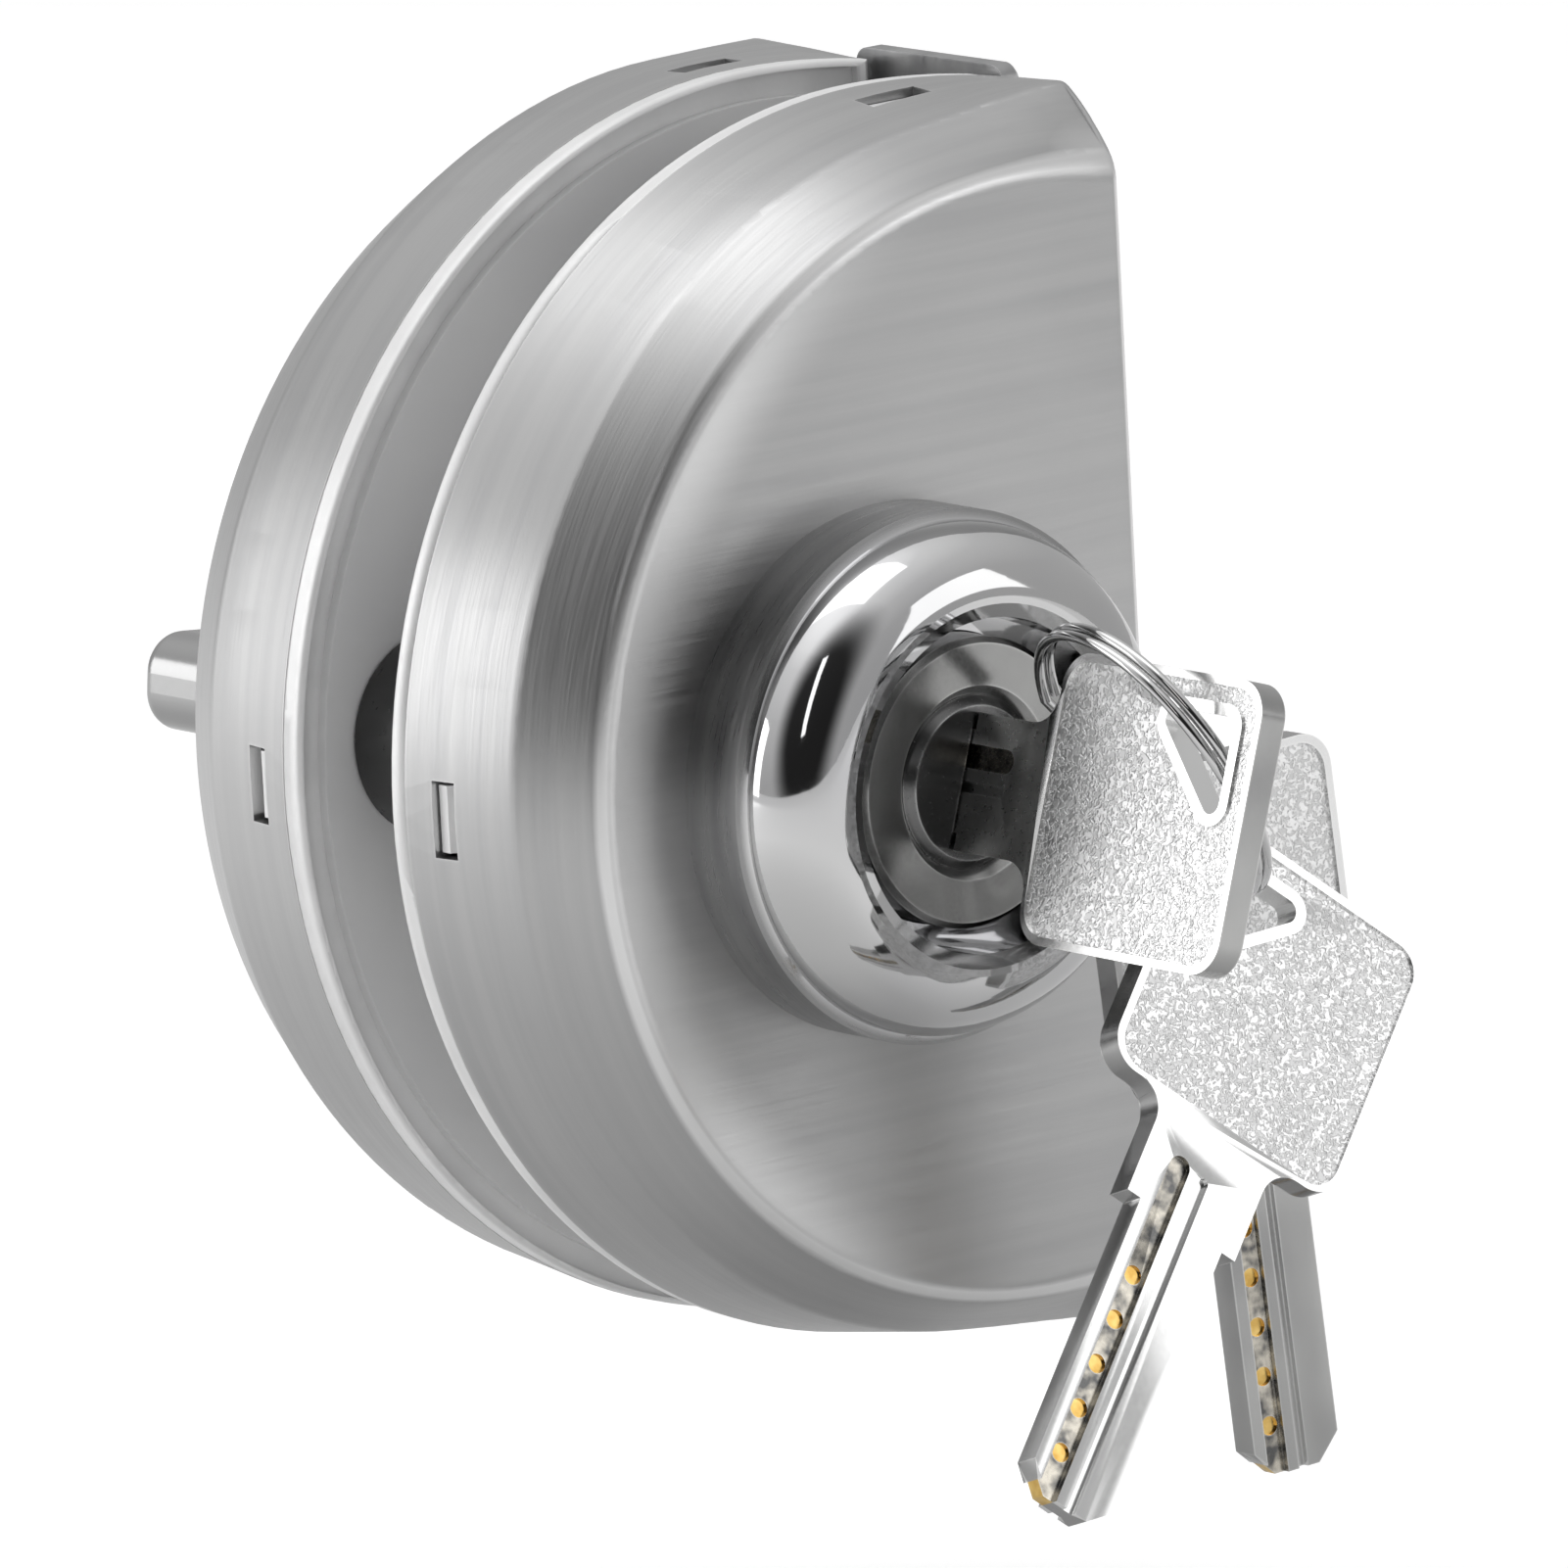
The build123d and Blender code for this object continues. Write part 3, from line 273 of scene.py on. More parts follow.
def brushedMetal(name, s):
    made, tree, shader, where = startMaterial(name, 1.0)
    along = groupNode(tree, brushGroup, -1200, 250, where, Stretch=s["stretch"])
    around = groupNode(tree, brushGroup, -1200, -50, Stretch=s["wallStretch"])
    polar = groupNode(tree, roundGroup, -1400, -50, where, Centre_x=s.get("centre", 0.0))
    tree.links.new(polar.outputs["Vector"], around.inputs["Vector"])
    specks = speckleNode(tree, -1200, -350, where, s)
    here = addNode(tree, "ShaderNodeNewGeometry", -1200, 500)
    split = addNode(tree, "ShaderNodeSeparateXYZ", -1000, 500)
    tree.links.new(here.outputs["Normal"], split.inputs["Vector"])
    size = addNode(tree, "ShaderNodeMath", -820, 500, operation="ABSOLUTE")
    tree.links.new(split.outputs["Y"], size.inputs[0])
    facing = size.outputs["Value"]
    flat = rangeNode(tree, -650, 500, facing, *flatFacing)
    lines = addNode(tree, "ShaderNodeMix", -650, 200, data_type="FLOAT")
    streaks = addNode(tree, "ShaderNodeMix", -650, -50, data_type="FLOAT")
    for mixer, output in ((lines, "Lines"), (streaks, "Streaks")):
        tree.links.new(flat, mixer.inputs[0])
        tree.links.new(around.outputs[output], mixer.inputs[2])
        tree.links.new(along.outputs[output], mixer.inputs[3])
    edgeRubHighlight = groupNode(tree, edgeRubHighlightGroup, -650, -350, Width=s["edgeWidth"], Break_up=s["edgeAmount"])
    tone = mixColour(tree, -350, 250, s["dark"], s["light"], streaks.outputs[0])
    clouds = mixValue(tree, -350, 0, 0.0, s["cloudAmount"], specks.outputs["Blotch"])
    tone = mixColour(tree, -150, 250, tone, s["cloud"], clouds)
    # edge tone: rubbed wear, and also a painted highlight along the edges
    tone = mixColour(tree, 50, 250, tone, s["edge"], edgeRubHighlight.outputs["Edge"])
    if "shoulder" in s:  # painted highlight: the band of the pressed edge round the face is painted bright where its normal turns, and so is the face just inside it
        rise = rangeNode(tree, -650, 700, facing, *s["shoulderRise"])
        fall = rangeNode(tree, -650, 900, facing, *s["shoulderFall"])
        tone = mixColour(tree, 250, 250, tone, s["shoulder"], multiply(tree, -400, 800, rise, fall))
        # painted highlight on the face just inside the pressed edge, stronger toward the left
        near = rangeNode(tree, -650, 1100, polar.outputs["Radius"], s["faceHighlightFrom"], s["faceHighlightTo"],
                         interpolation_type="SMOOTHSTEP")
        apart = addNode(tree, "ShaderNodeSeparateXYZ", -900, 1300)
        tree.links.new(where.outputs["Object"], apart.inputs["Vector"])
        leftward = rangeNode(tree, -650, 1300, apart.outputs["X"], s["faceHighlightRight"], s["faceHighlightLeft"],
                             interpolation_type="SMOOTHSTEP")
        onFace = rangeNode(tree, -650, 1500, facing, *s["shoulderFall"][::-1])
        brightMask = multiply(tree, -200, 1100, multiply(tree, -400, 1100, near, leftward), onFace)
        tone = mixColour(tree, 450, 250, tone, s["faceHighlightTone"], brightMask)
    tree.links.new(tone, shader.inputs["Base Color"])
    rough = mixValue(tree, -150, -50, s["roughLow"], s["roughHigh"], lines.outputs[0])
    tree.links.new(rough, shader.inputs["Roughness"])
    normal = bumpFrom(tree, -150, -300, lines.outputs[0], s["lineBump"], lineDepth)
    normal = bumpFrom(tree, 50, -300, specks.outputs["Grain"], s["grainBump"], fineDepth, normal)
    tree.links.new(normal, shader.inputs["Normal"])
    return made


def plainMetal(name, s):
    made, tree, shader, where = startMaterial(name, s.get("metallic", 1.0))
    specks = speckleNode(tree, -900, 0, where, s)
    edgeRubHighlight = groupNode(tree, edgeRubHighlightGroup, -900, -300, Width=s["edgeWidth"], Break_up=s["edgeAmount"])
    tone = mixColour(tree, -500, 250, s["dark"], s["light"], specks.outputs["Blotch"])
    # edge tone: rubbed wear, and also a painted highlight along the edges
    tone = mixColour(tree, -250, 250, tone, s["edge"], edgeRubHighlight.outputs["Edge"])
    tree.links.new(tone, shader.inputs["Base Color"])
    rough = mixValue(tree, -300, -50, s["roughLow"], s["roughHigh"], specks.outputs["Grain"])
    tree.links.new(rough, shader.inputs["Roughness"])
    normal = bumpFrom(tree, -300, -300, specks.outputs["Grain"], s["grainBump"], s.get("depth", grainDepth))
    tree.links.new(normal, shader.inputs["Normal"])
    return made


def domeMetal(name, s):
    made, tree, shader, where = startMaterial(name, 1.0)
    specks = speckleNode(tree, -900, 0, where, s)
    place = groupNode(tree, roundGroup, -1200, 300, where)
    wall = rangeNode(tree, -900, 300, place.outputs["Radius"], s["domeRadius"] * mm, s["wallRadius"] * mm)
    lines = groupNode(tree, brushGroup, -900, -300, Stretch=s["stretch"])
    tree.links.new(place.outputs["Vector"], lines.inputs["Vector"])
    tone = mixColour(tree, -500, 250, s["dark"], s["light"], specks.outputs["Blotch"])
    wallTone = mixColour(tree, -500, 500, s["wallDark"], s["wallLight"], lines.outputs["Streaks"])
    tone = mixColour(tree, -200, 300, tone, wallTone, wall)
    tree.links.new(tone, shader.inputs["Base Color"])
    smooth = mixValue(tree, -500, 0, s["roughLow"], s["roughHigh"], specks.outputs["Grain"])
    satin = mixValue(tree, -500, -200, s["wallRoughLow"], s["wallRoughHigh"], lines.outputs["Lines"])
    rough = addNode(tree, "ShaderNodeMix", -200, -50, data_type="FLOAT")
    tree.links.new(wall, rough.inputs[0])
    tree.links.new(smooth, rough.inputs[2])
    tree.links.new(satin, rough.inputs[3])
    tree.links.new(rough.outputs[0], shader.inputs["Roughness"])
    height = multiply(tree, -500, -400, lines.outputs["Lines"], wall)
    normal = bumpFrom(tree, -200, -300, height, s["lineBump"], lineDepth)
    tree.links.new(normal, shader.inputs["Normal"])
    return made


def pebbledMetal(name, s):
    made, tree, shader, where = startMaterial(name, 1.0)
    warp = addNode(tree, "ShaderNodeTexNoise", -1300, 200)
    warp.inputs["Scale"].default_value = s["worm"]
    warp.inputs["Detail"].default_value = s["wormDetail"]
    warp.inputs["Distortion"].default_value = s["wormTwist"]
    tree.links.new(where.outputs["Object"], warp.inputs["Vector"])
    ridges = addNode(tree, "ShaderNodeValToRGB", -1050, 200)
    for step, position in zip(ridges.color_ramp.elements, s["ridgeSteps"]):
        step.position = position
    tree.links.new(warp.outputs["Fac"], ridges.inputs["Fac"])
    specks = speckleNode(tree, -1050, -150, where, s)
    tone = mixColour(tree, -500, 250, s["dark"], s["light"], ridges.outputs["Color"])
    tree.links.new(tone, shader.inputs["Base Color"])
    rough = mixValue(tree, -500, -50, s["roughLow"], s["roughHigh"], specks.outputs["Grain"])
    tree.links.new(rough, shader.inputs["Roughness"])
    normal = bumpFrom(tree, -500, -300, ridges.outputs["Color"], s["pebbleBump"], s["pebbleDepth"])
    normal = bumpFrom(tree, -250, -300, specks.outputs["Grain"], s["grainBump"], pebbleGrainDepth, normal)
    tree.links.new(normal, shader.inputs["Normal"])
    return made


# finishes: stretch, grain, blotch and worm are marks to a metre, and widths, depths and the face
# highlight's reaches are in metres; each edge tone is rubbed wear on the edges and also a painted highlight
# along them

# painted highlights on the cover: the shoulder tone on the pressed edge's band, and a lighter tone on the
# face just inside it, stronger toward the left
coverFinish = dict(
    stretch=(110.0, 4200.0, 4200.0), wallStretch=(110.0, 4200.0, 4200.0), centre=0.0162, grain=2600.0,
    blotch=38.0, dark=(0.425, 0.425, 0.428), light=(0.47, 0.47, 0.47), cloud=(0.52, 0.52, 0.52),
    cloudAmount=0.4, shoulder=(0.80, 0.80, 0.80), shoulderRise=(0.64, 0.80), shoulderFall=(0.985, 0.93),
    faceHighlightFrom=0.0395, faceHighlightTo=0.0460, faceHighlightRight=0.006, faceHighlightLeft=-0.018, faceHighlightTone=(0.74, 0.74, 0.74),
    edge=(0.80, 0.80, 0.80), edgeWidth=0.0004, edgeAmount=0.30, roughLow=0.30, roughHigh=0.38,
    lineBump=0.16, grainBump=0.05)
coverSteel = brushedMetal("brushedCoverSteel", coverFinish)

collarFinish = dict(
    grain=2200.0, blotch=60.0, dark=(0.58, 0.58, 0.59), light=(0.64, 0.64, 0.64), edge=(0.90, 0.90, 0.90),
    edgeWidth=0.0003, edgeAmount=0.5, roughLow=0.035, roughHigh=0.075, grainBump=0.02)
mirrorChrome = plainMetal("mirrorChrome", collarFinish)

escutcheonFinish = dict(
    collarFinish, domeRadius=21.25, wallRadius=21.75, stretch=(120.0, 3600.0, 3600.0),
    wallDark=(0.30, 0.30, 0.305), wallLight=(0.40, 0.40, 0.40), wallRoughLow=0.26, wallRoughHigh=0.38,
    lineBump=0.2)
escutcheonChrome = domeMetal("escutcheonChrome", escutcheonFinish)

thumbFinish = dict(
    collarFinish, roughLow=0.16, roughHigh=0.26, dark=(0.30, 0.30, 0.31), light=(0.36, 0.36, 0.36))
thumbChrome = plainMetal("thumbturnChrome", thumbFinish)

rimFinish = dict(
    grain=1800.0, blotch=120.0, dark=(0.80, 0.80, 0.80), light=(0.88, 0.88, 0.88),
    edge=(0.97, 0.97, 0.97), edgeWidth=0.0004, edgeAmount=0.5, roughLow=0.38, roughHigh=0.56,
    grainBump=0.35, metallic=0.35, depth=0.00004)
rimCast = plainMetal("satinCastRim", rimFinish)

padFinish = dict(
    grain=1500.0, blotch=45.0, dark=(0.76, 0.76, 0.765), light=(0.84, 0.84, 0.84),
    edge=(0.90, 0.90, 0.90), edgeWidth=0.0004, edgeAmount=0.4, roughLow=0.42, roughHigh=0.55,
    grainBump=0.12, metallic=0.0)
greyPad = plainMetal("greyPadVinyl", padFinish)

bushFinish = dict(
    grain=1300.0, blotch=160.0, dark=(0.012, 0.012, 0.012), light=(0.028, 0.028, 0.028),
    edge=(0.08, 0.08, 0.08), edgeWidth=0.0004, edgeAmount=0.6, roughLow=0.22, roughHigh=0.38,
    grainBump=0.08, metallic=0.0)
blackBush = plainMetal("blackBushPlastic", bushFinish)

plateFinish = dict(
    stretch=(2500.0, 2500.0, 120.0), wallStretch=(2500.0, 2500.0, 120.0), grain=2200.0, blotch=70.0,
    dark=(0.32, 0.32, 0.325), light=(0.44, 0.44, 0.44), cloud=(0.30, 0.30, 0.305), cloudAmount=0.4,
    edge=(0.60, 0.60, 0.61), edgeWidth=0.0003, edgeAmount=0.55, roughLow=0.30, roughHigh=0.44,
    lineBump=0.20, grainBump=0.08)
darkPlate = brushedMetal("darkEdgePlate", plateFinish)

boltFinish = dict(
    plateFinish, dark=(0.55, 0.55, 0.56), light=(0.68, 0.68, 0.68), cloud=(0.6, 0.6, 0.61),
    edge=(0.9, 0.9, 0.9), stretch=(140.0, 3000.0, 3000.0), wallStretch=(140.0, 3000.0, 3000.0))
boltSteel = brushedMetal("boltSteel", boltFinish)

caseFinish = dict(
    boltFinish, dark=(0.46, 0.46, 0.47), light=(0.58, 0.58, 0.58), roughLow=0.34, roughHigh=0.48,
    stretch=(2600.0, 2600.0, 110.0), wallStretch=(2600.0, 2600.0, 110.0))
caseSteel = brushedMetal("platedCaseSteel", caseFinish)

cylinderFinish = dict(
    grain=2600.0, blotch=110.0, dark=(0.30, 0.30, 0.295), light=(0.38, 0.38, 0.375),
    edge=(0.93, 0.93, 0.92), edgeWidth=0.00035, edgeAmount=0.75, roughLow=0.14, roughHigh=0.26,
    grainBump=0.06)
cylinderNickel = plainMetal("satinCylinderNickel", cylinderFinish)

plugFinish = dict(
    cylinderFinish, dark=(0.13, 0.13, 0.13), light=(0.19, 0.19, 0.19), roughLow=0.18, roughHigh=0.32)
plugNickel = plainMetal("plugNickel", plugFinish)

brassFinish = dict(
    grain=2400.0, blotch=400.0, dark=(0.58, 0.40, 0.15), light=(0.78, 0.58, 0.26),
    edge=(0.92, 0.76, 0.42), edgeWidth=0.0002, edgeAmount=0.6, roughLow=0.16, roughHigh=0.30,
    grainBump=0.08)
turnedBrass = plainMetal("turnedBrass", brassFinish)

hardFinish = dict(
    grain=2400.0, blotch=140.0, dark=(0.36, 0.36, 0.37), light=(0.48, 0.48, 0.49),
    edge=(0.80, 0.80, 0.80), edgeWidth=0.0003, edgeAmount=0.5, roughLow=0.22, roughHigh=0.36,
    grainBump=0.10)
hardSteel = plainMetal("groundSteel", hardFinish)

screwFinish = dict(
    hardFinish, dark=(0.50, 0.51, 0.53), light=(0.62, 0.62, 0.63), roughLow=0.20, roughHigh=0.32)
screwSteel = plainMetal("zincScrewSteel", screwFinish)

springFinish = dict(
    hardFinish, dark=(0.30, 0.31, 0.33), light=(0.44, 0.45, 0.47), roughLow=0.14, roughHigh=0.24)
springSteel = plainMetal("springWire", springFinish)

keyFinish = dict(
    grain=2000.0, blotch=70.0, dark=(0.76, 0.76, 0.76), light=(0.85, 0.85, 0.845),
    edge=(0.95, 0.95, 0.945), edgeWidth=0.00025, edgeAmount=0.7, roughLow=0.12, roughHigh=0.22,
    grainBump=0.05)
keyNickel = plainMetal("keyNickel", keyFinish)

pebbleFinish = dict(
    worm=2100.0, wormDetail=1.0, wormTwist=1.2, ridgeSteps=(0.42, 0.56), grain=3600.0, blotch=60.0,
    dark=(0.70, 0.70, 0.70), light=(0.99, 0.99, 0.99), roughLow=0.28, roughHigh=0.44, pebbleBump=0.60,
    pebbleDepth=0.00008, grainBump=0.12)
keyPebble = pebbledMetal("keyPebble", pebbleFinish)

neckFinish = dict(
    keyFinish, dark=(0.60, 0.60, 0.60), light=(0.78, 0.78, 0.775), roughLow=0.22, roughHigh=0.36)
keyNeck = plainMetal("satinKeyNeck", neckFinish)

# painted shade: a darker copy of the key nickel, for the keys' outer side walls and the rear key's blade
paintedShadeFinish = dict(
    keyFinish, dark=(0.34, 0.34, 0.34), light=(0.48, 0.48, 0.475), roughLow=0.16, roughHigh=0.28)
keyPaintedShade = plainMetal("paintedShadeKeyNickel", paintedShadeFinish)

dimpleFinish = dict(
    grain=2600.0, blotch=700.0, dark=(0.62, 0.38, 0.10), light=(0.88, 0.62, 0.22),
    edge=(0.97, 0.84, 0.50), edgeWidth=0.0002, edgeAmount=0.6, roughLow=0.14, roughHigh=0.26,
    grainBump=0.08)
keyDimple = plainMetal("brassKeyDimple", dimpleFinish)

# painted shade in the blade's wide groove: its tone is mottled from near black to a pale warm grey
grooveShadeFinish = dict(
    grain=2800.0, blotch=760.0, dark=(0.14, 0.14, 0.14), light=(0.66, 0.62, 0.54),
    edge=(0.85, 0.84, 0.80), edgeWidth=0.0002, edgeAmount=0.6, roughLow=0.18, roughHigh=0.34,
    grainBump=0.14)
keyGrooveShade = plainMetal("mottledGrooveShade", grooveShadeFinish)

print("finishes made")

finishOf = {
    "front_cover": coverSteel, "rear_cover": coverSteel, "front_base": rimCast, "rear_base": rimCast,
    "front_pad": greyPad, "rear_pad": greyPad, "lock_case": caseSteel, "case_lid": caseSteel,
    "edge_plate": darkPlate, "deadbolt": boltSteel, "detent_ball": hardSteel,
    "detent_spring": springSteel, "drive_cam": hardSteel, "cylinder_body": cylinderNickel,
    "cylinder_plug": plugNickel, "key_pins": turnedBrass, "driver_pins": turnedBrass,
    "pin_springs": springSteel, "pin_caps": turnedBrass, "plug_clip": springSteel, "tailpiece": hardSteel,
    "escutcheon_ring": escutcheonChrome, "thumb_rose": mirrorChrome, "thumb_bearing": turnedBrass,
    "thumbturn": thumbChrome, "stem_clip": springSteel, "thumb_spindle": hardSteel,
    "glass_bushes": blackBush, "clamp_screws": screwSteel, "cylinder_screws": screwSteel,
    "case_screws": screwSteel, "edge_plate_screws": screwSteel, "key_in_lock": keyNickel,
    "hanging_key": keyNickel, "rear_hanging_key": keyNickel, "key_ring": mirrorChrome}
for nodeName, finish in finishOf.items():
    mesh = nodes[nodeName].data
    mesh.materials.clear()
    mesh.materials.append(finish)


def keepPiece(name, bm, materials, body, node, smoothAngle=35.0):
    mesh = bpy.data.meshes.new(name)
    bm.to_mesh(mesh)
    bm.free()
    for material in materials:
        mesh.materials.append(material)
    mesh.polygons.foreach_set("use_smooth", [True] * len(mesh.polygons))
    mesh.set_sharp_from_angle(angle=math.radians(smoothAngle))
    piece = bpy.data.objects.new(name, mesh)
    bpy.context.scene.collection.objects.link(piece)
    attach(piece, body)
    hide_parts(node)
    return piece


def mergedCopy(node):
    bm = bmesh.new()
    bm.from_mesh(nodes[node].data)
    bmesh.ops.remove_doubles(bm, verts=bm.verts, dist=mergeDistance)
    return bm


def roundEdges(piece, s):
    bevel = piece.modifiers.new("roundedEdges", "BEVEL")
    bevel.width = s["width"] * mm
    bevel.segments = s["segments"]
    bevel.limit_method = "ANGLE"
    bevel.angle_limit = math.radians(s["fromAngle"])


def joinFlat(bm, angle):
    bmesh.ops.dissolve_limit(
        bm, angle_limit=math.radians(angle), verts=bm.verts, edges=bm.edges, delimit={"MATERIAL"})


# keys: a merged copy of each CAD key, with its own finish for the head's panels and the blade's grooves
keySettings = dict(
    headLength=24.0, headWidth=24.0, halfThickness=1.3, panelSunk=0.05, flatFrom=0.9, sideUnder=0.3,
    sideWidth=1.5, panelMargin=1.3, panelFoot=1.6, panelCorner=2.35, newMargin=0.7, newFoot=0.45,
    outlineReach=0.03, grooveStart=-27.0, wideGrooveV=2.1, wideGrooveHalf=1.05, floorAt=0.74,
    joinAngle=1.0)
edgeRound = dict(width=0.12, segments=2, fromAngle=40.0)
keyFrames = {
    "key_in_lock": dict(
        body="key", neck=keyNeck, end=(0.0, -70.3, 0.0), out=(0.0, -1.0, 0.0),
        face=(-0.95106, 0.0, 0.30902)),
    "hanging_key": dict(
        body="front_loose_key", neck=keyNickel, end=(18.39, -56.56, -9.15), out=(0.68, 0.1971, 0.7062),
        face=(-0.0674, -0.9423, 0.3279)),
    # the rear key's blade takes the painted shade
    "rear_hanging_key": dict(
        body="rear_loose_key", neck=keyPaintedShade, end=(16.23, -46.2, 0.42), out=(-0.062, 0.0431, 0.9971),
        face=(-0.0866, -0.9955, 0.0377)),
}


def keyMatrix(place):
    out = Vector(place["out"]).normalized()
    face = Vector(place["face"])
    face = (face - out * face.dot(out)).normalized()
    across = face.cross(out)
    turn = Matrix((out, across, face)).transposed().to_4x4()
    return Matrix.Translation(Vector(place["end"]) * mm) @ turn


def onOutline(middle, s):
    beside = abs(middle.y) > s["headWidth"] / 2 - s["sideWidth"]
    return beside or middle.x > -s["newMargin"] or middle.x < -s["headLength"] + s["sideWidth"]


def panelBox(s, margin, foot):
    half = Vector(((s["headLength"] - foot - margin) / 2, s["headWidth"] / 2 - margin))
    return Vector((-margin - half.x, 0.0)), half


def widenPanels(bm, s, toWorld):  # moves the sunk panels' outer edge, not the rim round the ring's hole
    toLocal = toWorld.inverted()
    middle, half = panelBox(s, s["panelMargin"], s["panelFoot"])
    newMiddle, newHalf = panelBox(s, s["newMargin"], s["newFoot"])
    for vert in bm.verts:
        place = toLocal @ vert.co / mm
        if abs(place.z) < s["halfThickness"] / 2:
            continue
        off = Vector((abs(place.x - middle.x), abs(place.y))) - half + Vector((s["panelCorner"],) * 2)
        corner = Vector((max(off.x, 0.0), max(off.y, 0.0))).length
        outside = corner + min(max(off.x, off.y), 0.0) - s["panelCorner"]
        if abs(outside) < s["outlineReach"]:
            place.x = newMiddle.x + (place.x - middle.x) * newHalf.x / half.x
            place.y *= newHalf.y / half.y
            vert.co = toWorld @ (place * mm)


def keyPart(middle, normal, s):
    flat = abs(normal.z) > s["flatFrom"]
    sunk = abs(middle.z) < s["halfThickness"] - s["panelSunk"]
    inner = abs(middle.z) < s["halfThickness"] / 2
    if sunk and flat and middle.x > -s["headLength"] and not inner:
        return "panel"
    if sunk and middle.x < s["grooveStart"] and abs(middle.y - s["wideGrooveV"]) < s["wideGrooveHalf"]:
        return "groove" if abs(middle.z) > s["floorAt"] else "dimple"
    if middle.x < -s["headLength"] and flat:
        return "blade"
    if abs(normal.z) < s["sideUnder"] and inner and onOutline(middle, s):
        return "side"
    return "rim"


def dressKey(node, place, s):
    # the outer side walls take the painted shade, and the wide groove its own mottled painted shade
    finishes = dict(rim=keyNickel, panel=keyPebble, groove=keyGrooveShade, blade=place["neck"],
                    dimple=keyDimple, side=keyPaintedShade)
    parts = list(finishes)
    toWorld = keyMatrix(place)
    toLocal = toWorld.inverted()
    bm = mergedCopy(node)
    widenPanels(bm, s, toWorld)
    for face in bm.faces:
        middle = toLocal @ face.calc_center_median() / mm
        face.material_index = parts.index(keyPart(middle, toLocal.to_3x3() @ face.normal, s))
    joinFlat(bm, s["joinAngle"])
    piece = keepPiece("dressed_" + node, bm, list(finishes.values()), place["body"], node)
    roundEdges(piece, edgeRound)


for node, place in keyFrames.items():
    dressKey(node, place, keySettings)
print("keys dressed")

# covers and bases: merged copies whose ends run on to the flat side, with the rim flush to the cover
outlineSettings = dict(
    centreX=16.2, flatX=29.5, radius=52.4, mouth=7.85, shoulder=19.45, face=26.35, innerRadius=44.5,
    mouthLift=0.35, shoulderRise=1.5, rimInner=49.0, rimRadius=52.36, rimFrom=5.8, rimRound=0.5,
    rimLip=0.2, rimSlack=0.01, flatFrom=0.9, joinAngle=0.3, smoothAngle=30.0)
riseStarts = {"front_cover": 10.0, "rear_cover": -29.0}  # where the top edge starts to rise, in x


def arcDrop(reach, s):  # how far the arc has dropped at this reach past its centre, in mm
    return s["radius"] - math.sqrt(s["radius"] ** 2 - max(0.0, reach) ** 2)


def coverLift(x, depth, s, riseStart):
    along = min((depth - s["mouth"]) / (s["shoulder"] - s["mouth"]), 1.0)
    past = max(0.0, (depth - s["shoulder"]) / (s["face"] - s["shoulder"]))
    share = min(max((x - riseStart) / (s["flatX"] - riseStart), 0.0), 1.0)
    rise = s["shoulderRise"] * share * share * (3 - 2 * share) * along
    weight = s["mouthLift"] + (1 - s["mouthLift"]) * along
    return (arcDrop(x - s["centreX"], s) * weight + rise) * max(0.0, 1 - past ** 2)


def squareRim(place, depth, radius, s):
    edge = 1 - min(1.0, max(0.0, (depth - s["rimFrom"]) / s["rimRound"]))
    newRadius = s["rimRadius"] - s["rimRound"] * (1 - math.sqrt(1 - edge ** 2))
    reach = place.x / mm - s["centreX"]
    if reach < 0:
        grow = newRadius / radius
        place.x = (s["centreX"] + reach * grow) * mm
        place.z *= grow
    else:
        height = math.sqrt(newRadius ** 2 - reach ** 2) + arcDrop(reach, s) * s["mouthLift"]
        place.z = math.copysign(height * mm, place.z)


def dressCover(node, s):
    bm = mergedCopy(node)
    for vert in bm.verts:
        x, depth, z = vert.co.x / mm, abs(vert.co.y) / mm, vert.co.z / mm
        if math.hypot(x - s["centreX"], z) > s["innerRadius"]:
            vert.co.z += math.copysign(coverLift(x, depth, s, riseStarts[node]) * mm, z)
    bm.normal_update()
    joinFlat(bm, s["joinAngle"])
    keepPiece("dressed_" + node, bm, [finishOf[node]], "housing", node, s["smoothAngle"])


def dressBase(node, s):
    bm = mergedCopy(node)
    for vert in bm.verts:
        depth = abs(vert.co.y) / mm
        radius = math.hypot(vert.co.x / mm - s["centreX"], vert.co.z / mm)
        if depth < s["mouth"] + s["rimSlack"] and radius > s["rimInner"]:
            squareRim(vert.co, depth, radius, s)
    bm.normal_update()
    for face in bm.faces:  # what lies behind the glass's pad is as grey as the pad
        depth = abs(face.calc_center_median().y) / mm
        towardsGlass = abs(face.normal.y) > s["flatFrom"] and depth < s["rimFrom"] + s["rimLip"]
        face.material_index = 1 if towardsGlass else 0
    joinFlat(bm, s["joinAngle"])
    materials = [finishOf[node], greyPad]
    keepPiece("dressed_" + node, bm, materials, "housing", node, s["smoothAngle"])


for side in ("front", "rear"):
    dressCover(side + "_cover", outlineSettings)
for side in ("front", "rear"):
    dressBase(side + "_base", outlineSettings)
print("covers and bases dressed")

# springs: real coils in place of the tubes
coilSettings = dict(wire=0.16, turns=6.0, stepsPerTurn=20, wireSides=8, smoothAngle=60.0)


